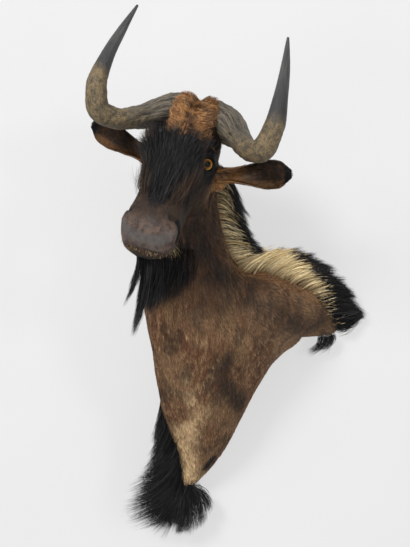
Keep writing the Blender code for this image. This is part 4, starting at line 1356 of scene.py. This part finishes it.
def tip_marks(draw, black_share, steps):
    """Marks of cream hair, orange-brown at the root and black for a share of its length at the tip."""
    s = np.linspace(0, 1, steps)
    start = 1 - black_share[:, None] + draw.normal(0, 0.05, (len(black_share), 1))
    orange = 0.7 * smooth((0.30 - s) / 0.25)
    return marks_of(black=smooth((s - start) / 0.12 + 0.5), orange=orange, cream=1 - orange)


def neck_mane(coat):
    """Upright mane from the crown to the foot of the neck."""
    draw = np.random.default_rng(seed=11)
    count, steps = int(NECK_MANE_HAIRS * HAIR_SHARE), 7
    spread, lean, reach = (0.007, 0.012, 0.008), (0.26, 0.87), (0.40, 1.08)
    share, base, tips, portion = band(draw, count, NECK_CREST, NECK_MANE_EDGE, spread, 0.008, lean, reach)
    out = strayed(draw, (0.75, 0.25, 0.15), 0.15, count)
    roots, normals = landed(base - out * CREST_DEPTH, out)
    lines = arcs(roots - normals * ROOT_DEPTH, unit(normals + 0.4 * out), tips, steps, reach=0.35)
    lines = gathered(draw, lines, count / 60, pull=0.72)
    far = smooth((tips[:, 1] - along_path(NECK_MANE_EDGE, share)[:, 1]) / 0.010 + 0.35)
    black = np.clip(0.26 + 0.55 * far + 0.30 * (portion - 0.85), 0.03, 1) * draw.uniform(0.7, 1.25, count)
    marks = tip_marks(draw, np.maximum(black, 1.1 * smooth((0.12 - share) / 0.10)), steps)
    facing = strayed(draw, (0.3, -1.0, 0.2), 0.4, count)
    strands(draw, "neck_mane", "body_hair", lines, facing, 0.0013, marks, coat)


def back_mane(coat):
    """Mane of the back, from the foot of the neck to the wall."""
    draw = np.random.default_rng(seed=12)
    count, steps = int(BACK_MANE_HAIRS * HAIR_SHARE), 7
    spread, lean, reach = (0.012, 0.016, 0.011), (0.0, 1.25), (0.38, 1.03)
    share, base, tips, portion = band(draw, count, BACK_CREST, BACK_MANE_EDGE, spread, 0.008, lean, reach)
    out = unit(np.array([0.10, 0.0, 1.0]) + draw.normal(0, 0.2, (count, 3)) * (1, 2.2, 0.3))
    roots, normals = landed(base - out * CREST_DEPTH, out)
    starts = unit(normals + 0.9 * unit(tips - roots))
    lines = arcs(roots - normals * ROOT_DEPTH, starts, tips, steps, reach=0.35)
    lines = gathered(draw, lines, count / 60, pull=0.75)
    black = eased(*BACK_MANE_BLACK, np.clip(share + draw.normal(0, 0.05, count), 0, 1))
    marks = tip_marks(draw, black * (0.4 + 0.6 * smooth((portion - 0.5) / 0.4)), steps)
    facing = strayed(draw, (0.0, -1.0, 0.4), 0.4, count)
    strands(draw, "back_mane", "body_hair", lines, facing, 0.0015, marks, coat)


def front_strands(draw, name, slot, lines, width, marks, coat):
    """Hair along lines with most of its blades turned to the front."""
    facing = strayed(draw, (-0.1, -1.0, 0.1), 0.5, len(lines))
    strands(draw, name, slot, lines, facing, width, marks, coat)


def all_black(lines):
    """Marks of black hair."""
    return marks_of(black=np.ones(len(lines)))


# Roots of the fringe down the left side of the keel, and where its innermost and outermost
# hairs end.
FRINGE_KEEL = (
    (-0.130, -0.150, -0.135),
    (-0.118, -0.120, -0.220),
    (-0.112, -0.085, -0.300),
    (-0.108, -0.055, -0.365),
    (-0.102, -0.042, -0.398),
)
FRINGE_INNER = (
    (-0.166, -0.150, -0.225),
    (-0.158, -0.115, -0.320),
    (-0.150, -0.085, -0.410),
    (-0.135, -0.070, -0.485),
    (-0.085, -0.065, -0.488),
)
FRINGE_OUTER = (
    (-0.186, -0.155, -0.240),
    (-0.222, -0.135, -0.335),
    (-0.286, -0.115, -0.425),
    (-0.270, -0.095, -0.490),
    (-0.160, -0.080, -0.538),
)
FRINGE_HAIRS = 8200
# Roots farther than this from the keel's line are dropped.
FRINGE_REACH = 0.05
# The long curls at the foot of the fringe: root, tips from left to right, and number.
CURLS_ROOT = (-0.108, -0.045, -0.385)
CURLS_TIPS = (
    (-0.135, -0.075, -0.520),
    (-0.105, -0.075, -0.518),
    (-0.076, -0.072, -0.510),
    (-0.050, -0.070, -0.480),
    (-0.026, -0.070, -0.438),
)
CURLS_HAIRS = 800


def fringe(coat):
    """Black hair that hangs from the keel."""
    draw = np.random.default_rng(seed=13)
    count = int(FRINGE_HAIRS * HAIR_SHARE)
    share = draw.random(count) ** 0.8
    keel = along_path(FRINGE_KEEL, share)
    roots, normals = landed(keel, strayed(draw, (-1.0, -0.2, -0.1), 0.38, count))
    near = np.linalg.norm(roots - keel, axis=1) < FRINGE_REACH
    share, roots, normals, count = share[near], roots[near], normals[near], near.sum()
    inner, outer = along_path(FRINGE_INNER, share), along_path(FRINGE_OUTER, share)
    tips = inner + (outer - inner) * draw.beta(1.1, 1.1, (count, 1))
    tips = roots + (tips - roots) * draw.uniform(0.62, 1.04, (count, 1)) + draw.normal(0, 0.006, (count, 3))
    tips[:, 1] = np.minimum(tips[:, 1] + draw.normal(0, 0.016, count), -0.006)
    fall = unit(np.array([-0.05, -0.05, -1.0]) + 0.12 * normals)
    lines = arcs(roots - normals * ROOT_DEPTH, fall, tips, steps=9)
    lines = locks(draw, lines, each=26, pull=0.6, radius=0.003, turns=0.7)
    front_strands(draw, "fringe", "body_hair", lines, 0.0013, all_black(lines), coat)
    fringe_curls(draw, coat)


def fringe_curls(draw, coat):
    """A few long curls at the foot of the fringe, which swing to the right."""
    count = int(CURLS_HAIRS * HAIR_SHARE)
    base = np.array(CURLS_ROOT) + draw.normal(0, 1, (count, 3)) * (0.012, 0.008, 0.008)
    roots, normals = landed(base, np.tile([-0.15, -0.5, -1.0], (count, 1)))
    share = draw.random((count, 1)) ** 1.15
    tips = along_path(CURLS_TIPS, share[:, 0]) + draw.normal(0, 0.007, (count, 3))
    tips[:, 1] = np.minimum(tips[:, 1], -0.008)
    starts = np.array([0.0, -0.2, -1.0]) * (1 - share) + np.array([1.0, -0.2, 0.05]) * share
    lines = arcs(roots - normals * ROOT_DEPTH, starts, tips, steps=12, reach=0.62)
    lines = locks(draw, lines, each=30, pull=0.85, radius=0.0045, turns=0.8)
    front_strands(draw, "fringe_curls", "body_hair", lines, 0.0012, all_black(lines), coat)


WISP_ROOTS = ((0.268, -0.045, 0.024), (0.312, -0.040, 0.030))
WISP_TIPS = ((0.232, -0.042, -0.022), (0.258, -0.042, -0.018), (0.290, -0.045, -0.008))
WISP_HAIRS = 260


def wisp(coat):
    """Small dark wisp at the rear edge."""
    draw = np.random.default_rng(seed=14)
    count = int(WISP_HAIRS * HAIR_SHARE)
    lean, reach = (0.0, 1.0), (0.5, 1.1)
    _, roots, tips, _ = band(draw, count, WISP_ROOTS, WISP_TIPS, 0.003, 0.005, lean, reach)
    lines = arcs(roots, np.tile([0.2, -0.2, -1.0], (count, 1)), tips, steps=9)
    lines = curled(draw, lines, radius=0.002, turns=0.6)
    front_strands(draw, "rear_wisp", "body_hair", lines, 0.0010, all_black(lines), coat)


# Locks of the beard: root, tip, spread of the roots, spread of the tips and number of hairs.
BEARD_LOCKS = (
    ((-0.208, -0.505, 0.240), (-0.246, -0.470, 0.118), 0.002, 0.003, 110),
    ((-0.203, -0.500, 0.238), (-0.236, -0.455, 0.135), 0.002, 0.003, 90),
    ((-0.190, -0.475, 0.232), (-0.229, -0.425, 0.042), 0.006, 0.005, 620),
    ((-0.172, -0.460, 0.235), (-0.186, -0.415, 0.110), 0.010, 0.010, 620),
    ((-0.155, -0.450, 0.232), (-0.165, -0.400, 0.130), 0.012, 0.012, 700),
)


def beard(coat):
    """Locks under the chin."""
    draw = np.random.default_rng(seed=15)
    lines = []
    for root, tip, root_spread, tip_spread, hairs in BEARD_LOCKS:
        count = int(hairs * HAIR_SHARE)
        base = np.array(root) + draw.normal(0, root_spread, (count, 3)) + np.array([0.0, 0.0, 0.02])
        roots, normals = landed(base, np.tile([0.0, 0.0, -1.0], (count, 1)))
        tips = np.array(tip) + draw.normal(0, tip_spread, (count, 3))
        tips = roots + (tips - roots) * draw.uniform(0.45, 1.03, (count, 1))
        fall = np.tile([0.1, 0.0, -1.0], (count, 1))
        lock = arcs(roots - normals * ROOT_DEPTH, fall, tips, steps=12, reach=0.45)
        lines.append(gathered(draw, lock, 2 + count / 60, pull=0.6))
    lines = curled(draw, np.concatenate(lines), radius=0.0020, turns=0.9)
    front_strands(draw, "beard", "face_hair", lines, 0.0011, all_black(lines), coat)


def throat_weights(points):
    """Where the long hair of the throat grows, behind the locks of the beard."""
    return patch(points, THROAT_BLACK_AND_JAW_SHADOW, 0.03) * (points[:, 2] < 0.27) * smooth((points[:, 0] + 0.190) / 0.015)


def throat(coat, surface):
    """Long black hair down the throat, which fades into the neck."""
    draw = np.random.default_rng(seed=16)
    roots, normals = surface.scatter(draw, 400000, throat_weights(surface.centres))
    count = len(roots)
    length = (0.030 + 0.035 * smooth((roots[:, 2] - 0.12) / 0.08)) * draw.uniform(0.5, 1.15, count)
    fall = strayed(draw, np.array([-0.10, -0.02, -1.0]) + 0.25 * normals, 0.10, count)
    tips = roots + fall * length[:, None]
    lines = arcs(roots - normals * ROOT_DEPTH, unit(fall + 0.5 * normals), tips, steps=7)
    lines = locks(draw, lines, each=20, pull=0.6, radius=0.0015, turns=0.8)
    front_strands(draw, "throat_hair", "face_hair", lines, 0.0012, markings(roots), coat)


def brow_curls(at):
    """1 on the curls over the near eye, in the head's frame."""
    return patch(at, BROW_CURLS, 0.012)


def brush_weights(points):
    """Where the long hair of the face grows, from the nose to the brow."""
    at = in_head(points)
    room = np.where(at[:, 0] > 0, 0.034, 0.021)
    clear = smooth((from_eye(at) - room) / 0.010) * (1 - brow_curls(at))
    brow = smooth((at[:, 2] + 0.125) / 0.02)
    far = smooth(-at[:, 0] / 0.02) * smooth((at[:, 2] + 0.190) / 0.03)
    middle = smooth((0.066 + 0.026 * np.maximum(brow, far) - np.abs(at[:, 0])) / 0.025)
    height = smooth((-0.092 - at[:, 2]) / 0.03) * smooth((at[:, 2] + 0.275) / 0.09)
    return middle * clear * height * (at[:, 1] < 0.03)


def face_brush(coat, surface):
    """Hair that stands out from the bridge of the nose and sweeps up the face."""
    draw = np.random.default_rng(seed=17)
    roots, normals = surface.scatter(draw, 600000, brush_weights(surface.centres))
    count = len(roots)
    at = in_head(roots)
    low = smooth((-0.12 - at[:, 2]) / 0.14)
    clear_of_eye = np.maximum(smooth(-at[:, 0] / 0.02), smooth((at[:, 2] + 0.115) / 0.02))
    sideways = smooth((np.abs(at[:, 0]) - 0.030) / 0.02) * clear_of_eye
    length = (0.032 + 0.040 * low + 0.022 * sideways) * draw.uniform(0.5, 1.15, count)
    spread = np.stack([(6.0 + 9.0 * sideways) * at[:, 0], np.zeros(count), np.ones(count)], 1)
    rise = strayed(draw, spread @ HEAD_TURN.T, 0.13, count)
    far_brow = smooth((-0.030 - at[:, 0]) / 0.03) * smooth((at[:, 2] + 0.210) / 0.04)
    upright = draw.uniform(0.10, 0.50, count) * (1 + 1.2 * far_brow)
    tips = roots + length[:, None] * unit(laid(rise, normals) + normals * upright[:, None])
    lines = arcs(roots - normals * ROOT_DEPTH, unit(normals * 0.6 + rise), tips, steps=7, reach=0.4)
    lines = locks(draw, lines, each=16, pull=0.5, radius=0.0012, turns=0.6)
    facing = strayed(draw, normals, 0.4, count)
    strands(draw, "face_brush", "face_hair", lines, facing, 0.0011, markings(roots), coat)


def crown_weights(points):
    """Where the curly hair of the crown and brow grows, with a parting."""
    at = in_head(points)
    near = mirrored(at)
    return np.maximum(patch(near, CROWN_ORANGE, 0.03) * smooth((near[:, 0] - 0.001) / 0.003), brow_curls(at))


def crown(coat, surface):
    """Curly orange hair between the horns, parted in the middle."""
    draw = np.random.default_rng(seed=18)
    roots, normals = surface.scatter(draw, 420000, crown_weights(surface.centres))
    count = len(roots)
    at = in_head(roots)
    outward = np.array([0.7, -0.3, 0.35]) * np.stack([np.sign(at[:, 0]), np.ones(count), np.ones(count)], 1)
    swirl = draw.normal(0, 0.25, (count, 3))
    way = unit(laid(outward @ HEAD_TURN.T + swirl, normals) + 0.30 * normals)
    length = 0.020 * draw.uniform(0.4, 1.25, count)
    lines = arcs(roots - normals * ROOT_DEPTH, unit(normals + way), roots + way * length[:, None], steps=7)
    lines = locks(draw, lines, each=24, pull=0.65, radius=0.0016, turns=0.9)
    facing = strayed(draw, normals, 0.4, count)
    marks, curls = markings(roots), brow_curls(at)
    parting = smooth((0.007 - np.abs(at[:, 0])) / 0.004)
    black = (0.9 * smooth((-0.055 - at[:, 2]) / 0.05) + 0.6 * parting) * (1 - 0.8 * curls)
    marks[:, 0] = black + draw.normal(0, 0.15, count)
    marks[:, 1] = np.maximum(0.95 - 0.75 * smooth((-0.050 - at[:, 2]) / 0.045), 0.45 * curls)
    marks[:, 4] = 0.8
    strands(draw, "crown", "face_hair", lines, facing, 0.0012, marks, coat, spread=(0.6, 1.2))


WHISKER_BED = (((0.066, -0.075, -0.355), 0.018), ((0.05, -0.06, -0.39), 0.018))


def lip_hair(coat, surface):
    """Pale bristles along the lips and whiskers at the sides of the muzzle."""
    draw = np.random.default_rng(seed=30)
    near = mirrored(in_head(surface.centres))
    rim = patch(near, [(place, 0.007) for place, _ in MOUTH[:4]], 0.008)
    roots, normals = surface.scatter(draw, 150000, rim)
    count = len(roots)
    fall = strayed(draw, np.array([0.0, -0.2, -0.8]) + normals * 0.9, 0.25, count)
    length = 0.005 * draw.uniform(0.5, 1.6, count)
    lines = arcs(roots - normals * SHORT_ROOT_DEPTH, normals, roots + fall * length[:, None], steps=4)
    light = (draw.random(count) < 0.45) * 0.4
    marks = marks_of(cream=light, pale=light)
    hair("lip_bristles", "face_hair", lines, np.full(count, 0.0005), normals, marks, draw.random(count), coat)

    roots, normals = surface.scatter(draw, 40000, patch(near, WHISKER_BED, 0.01))
    count = len(roots)
    way = strayed(draw, normals + np.array([0.0, 0.0, -0.4]), 0.2, count)
    length = 0.024 * draw.uniform(0.6, 1.3, count)
    tips = roots + way * length[:, None] + np.array([0.0, 0.0, -0.004])
    lines = arcs(roots - normals * SHORT_ROOT_DEPTH, way, tips, steps=6)
    light = (draw.random(count) < 0.5) * 0.8
    marks = marks_of(black=1 - light, cream=light)
    hair("whiskers", "face_hair", lines, np.full(count, 0.0004), normals, marks, draw.random(count), coat)


BOARD_THICKNESS = 0.018
BOARD_EDGE = 0.0015
BOARD_OUTLINE = (
    (-0.100, -0.340),
    (-0.055, -0.330),
    (0.125, -0.030),
    (0.125, 0.015),
    (-0.020, 0.015),
    (-0.085, -0.220),
)
WOOD_LIGHT = (0.520, 0.350, 0.190)
WOOD_DARK = (0.300, 0.180, 0.085)
WOOD_PORES = (0.180, 0.100, 0.045)
HANGER_AT = (0.060, -0.006)
HANGER_SIZE = (0.070, 0.0015, 0.016)
HANGER_EDGE = 0.0004
SCREW_RADIUS = 0.0032
# Place of each screw from the middle, as a share of the plate's length.
SCREW_SHARE = 0.38
STEEL = (0.560, 0.560, 0.550)
STEEL_WORN = (0.350, 0.340, 0.330)
BEVEL = {"segments": 2, "affect": "EDGES", "profile": 0.6}


def wood_material():
    """Pale wood with long grain."""
    paint = Paint("board_wood", roughness=0.65, specular=0.3)
    place = paint.place()
    grain = paint.clouds(place, 30.0, 6.0, stretch=(6, 6, 0.5))
    fine = paint.clouds(place, 160.0, 3.0, stretch=(5, 5, 0.4))
    colour = paint.mix(paint.ramp(grain, 0.3, 0.7), WOOD_LIGHT, WOOD_DARK)
    paint.surface({"Base Color": paint.mix(paint.ramp(fine, 0.5, 0.8, most=0.4), colour, WOOD_PORES)})
    paint.bump(fine, strength=0.3, distance=0.0008)
    return paint.material


def steel_material():
    """Rolled steel, a little worn."""
    paint = Paint("hanger_steel", roughness=0.4, specular=0.5)
    wear = paint.clouds(paint.place(), 220.0, 4.0, stretch=(0.3, 1, 1))
    colour = paint.mix(paint.ramp(wear, 0.3, 0.7), STEEL, STEEL_WORN)
    paint.surface({"Metallic": 1.0, "Base Color": colour, "Roughness": paint.plus(0.25, wear, 0.35)})
    return paint.material


def make_board():
    """Wooden board inside the back of the mount."""
    count = len(BOARD_OUTLINE)
    vertices = [(x, y, z) for y in (0, -BOARD_THICKNESS) for x, z in BOARD_OUTLINE]
    faces = [tuple(range(count)), tuple(range(count, 2 * count))]
    faces += [(i, (i + 1) % count, (i + 1) % count + count, i + count) for i in range(count)]
    mesh = bpy.data.meshes.new("board")
    mesh.from_pydata(vertices, [], faces)
    with editing(mesh) as work:
        bmesh.ops.recalc_face_normals(work, faces=work.faces)
        bmesh.ops.bevel(work, geom=work.edges[:], offset=BOARD_EDGE, **BEVEL)
    mesh.shade_smooth()
    mesh.set_sharp_from_angle(angle=math.radians(35))
    piece_of("board", mesh, "board", wood_material(), "back_board")


def make_hanger():
    """Steel plate with two screws."""
    wide, thick, high = HANGER_SIZE
    mesh = bpy.data.meshes.new("hanger")
    screw = {"cap_ends": True, "segments": 24, "radius1": SCREW_RADIUS, "radius2": SCREW_RADIUS}
    with editing(mesh) as work:
        middle = Matrix.Translation((HANGER_AT[0], -thick / 2, HANGER_AT[1]))
        bmesh.ops.create_cube(work, size=1, matrix=middle @ Matrix.Diagonal((wide, thick, high, 1)))
        bmesh.ops.bevel(work, geom=work.edges[:], offset=HANGER_EDGE, **BEVEL)
        for side in (-1, 1):
            place = middle @ Matrix.Translation((side * SCREW_SHARE * wide, 0, 0))
            turn = Matrix.Rotation(math.pi / 2, 4, "X")
            bmesh.ops.create_cone(work, depth=thick, matrix=place @ turn, **screw)
    piece_of("hanger_plate", mesh, "hanger", steel_material(), "hanger")


WALL_COLOUR = (0.200, 0.200, 0.200)
WALL_SHADE = (0.185, 0.185, 0.185)
WHITE = (1.0, 1.0, 1.0)
# Part of the wall's light is its own, as if from other lamps, which keeps the shadows faint.
WALL_GLOW = 0.56
WALL_AT = 0.001
ROOM_HALF = 4.0
FLOOR_AT = -1.6


def wall_material():
    """White wall that is clear from behind, so that the back of the mount can be seen."""
    paint = Paint("wall_white", roughness=0.9, specular=0.1)
    # Painted shade: soft darker patches on the flat wall, as of folds in a hanging sheet.
    painted_fold_shade = paint.ramp(paint.clouds(paint.place(), 1.6, 2.0), 0.3, 0.7)
    paint.surface({"Base Color": paint.mix(painted_fold_shade, WALL_COLOUR, WALL_SHADE)})
    paint.surface({"Emission Color": WHITE, "Emission Strength": WALL_GLOW})
    behind = paint.node("ShaderNodeNewGeometry").outputs["Backfacing"]
    shadow = paint.node("ShaderNodeLightPath").outputs["Is Shadow Ray"]
    clear = paint.node("ShaderNodeBsdfTransparent").outputs[0]
    values = {0: paint.maths("MAXIMUM", behind, shadow), 1: paint.shader.outputs[0], 2: clear}
    mixed = paint.node("ShaderNodeMixShader", values).outputs[0]
    paint.feed(paint.tree.nodes["Material Output"].inputs["Surface"], mixed)
    return paint.material


def make_wall():
    """Pale wall, and a pale floor well below the mount."""
    material = wall_material()
    foot, top, front = (WALL_AT, FLOOR_AT), (WALL_AT, ROOM_HALF), (-ROOM_HALF, FLOOR_AT)
    for name, first, last in (("wall", foot, top), ("floor", front, foot)):
        mesh = bpy.data.meshes.new(name)
        corners = [(-ROOM_HALF, *first), (ROOM_HALF, *first), (ROOM_HALF, *last), (-ROOM_HALF, *last)]
        mesh.from_pydata(corners, [], [(0, 1, 2, 3)])
        mesh.materials.append(material)
        placed(name, mesh)


# Each lamp: place, aim, width and power.
LAMPS = {
    "key": ((-2.6, -4.6, 2.9), (0, -0.2, 0.2), 1.6, 300),
    "fill": ((3.4, -4.2, 0.8), (0, -0.2, 0.1), 1.1, 72),
    "behind": ((0.6, 2.6, 1.2), (0, -0.2, 0.1), 2.0, 20),
}
SKY_STRENGTH = 0.70


def make_lights():
    """Round lamps and an even white sky."""
    for name, (place, aim, width, power) in LAMPS.items():
        light = bpy.data.lights.new(name, "AREA")
        light.shape = "DISK"
        light.size = width
        light.energy = power
        made = placed(name, light)
        made.location = place
        made.rotation_euler = (Vector(aim) - Vector(place)).to_track_quat("-Z", "Y").to_euler()
    world = bpy.data.worlds.new("studio")
    world.use_nodes = True
    background = world.node_tree.nodes["Background"]
    background.inputs["Color"].default_value = (*WHITE, 1)
    background.inputs["Strength"].default_value = SKY_STRENGTH
    bpy.context.scene.world = world
    bpy.context.scene.view_settings.view_transform = "Standard"


CAMERA_AT = (-0.05, -3.0, 0.20)
SENSOR = 36
# Focal length in pixels of the photograph, whose long side is PHOTO_HEIGHT pixels.
PHOTO_FOCUS = 1058
PHOTO_HEIGHT = 547


def make_camera():
    """Camera level with the middle of the mount, as in the photograph."""
    data = bpy.data.cameras.new("camera")
    data.sensor_width = SENSOR
    data.lens = SENSOR * PHOTO_FOCUS / PHOTO_HEIGHT
    made = placed("camera", data)
    made.location = CAMERA_AT
    made.rotation_euler = (math.pi / 2, 0, 0)
    bpy.context.scene.camera = made


def make_skin(coat):
    """The skin with its markings, its map and the nodes that it stands for."""
    mesh = skin_mesh()
    points = vectors_of(mesh.vertices, "co")
    # The skin keeps a low tip share, so it takes the painted shade of the hair's roots.
    keep_marks(mesh, points, markings(points), tip=0.2, tone=0.35)
    bake_map(mesh, chart(points))
    piece_of("hide", mesh, "body_hair", coat, "head", "neck", "shoulder", "brisket")
    return Surface(mesh)


def main():
    """Camera, lights and wall first, then the skin and all that grows on it."""
    make_camera()
    make_lights()
    make_wall()
    coat, horn, glass = coat_material(), horn_material(), eye_material()
    surface = make_skin(coat)
    for name, side in (("left", 1), ("right", -1)):
        make_horn(name, side, horn)
        make_eye("eye_" + name, side, glass)
        make_ear(np.random.default_rng(seed=40 + side), "ear_" + name, coat)
    for grow in (body_coat, face_brush, crown, throat):
        grow(coat, surface)
    beard(coat)
    lip_hair(coat, surface)
    for grow in (neck_mane, back_mane, fringe, wisp):
        grow(coat)
    make_board()
    make_hanger()


main()
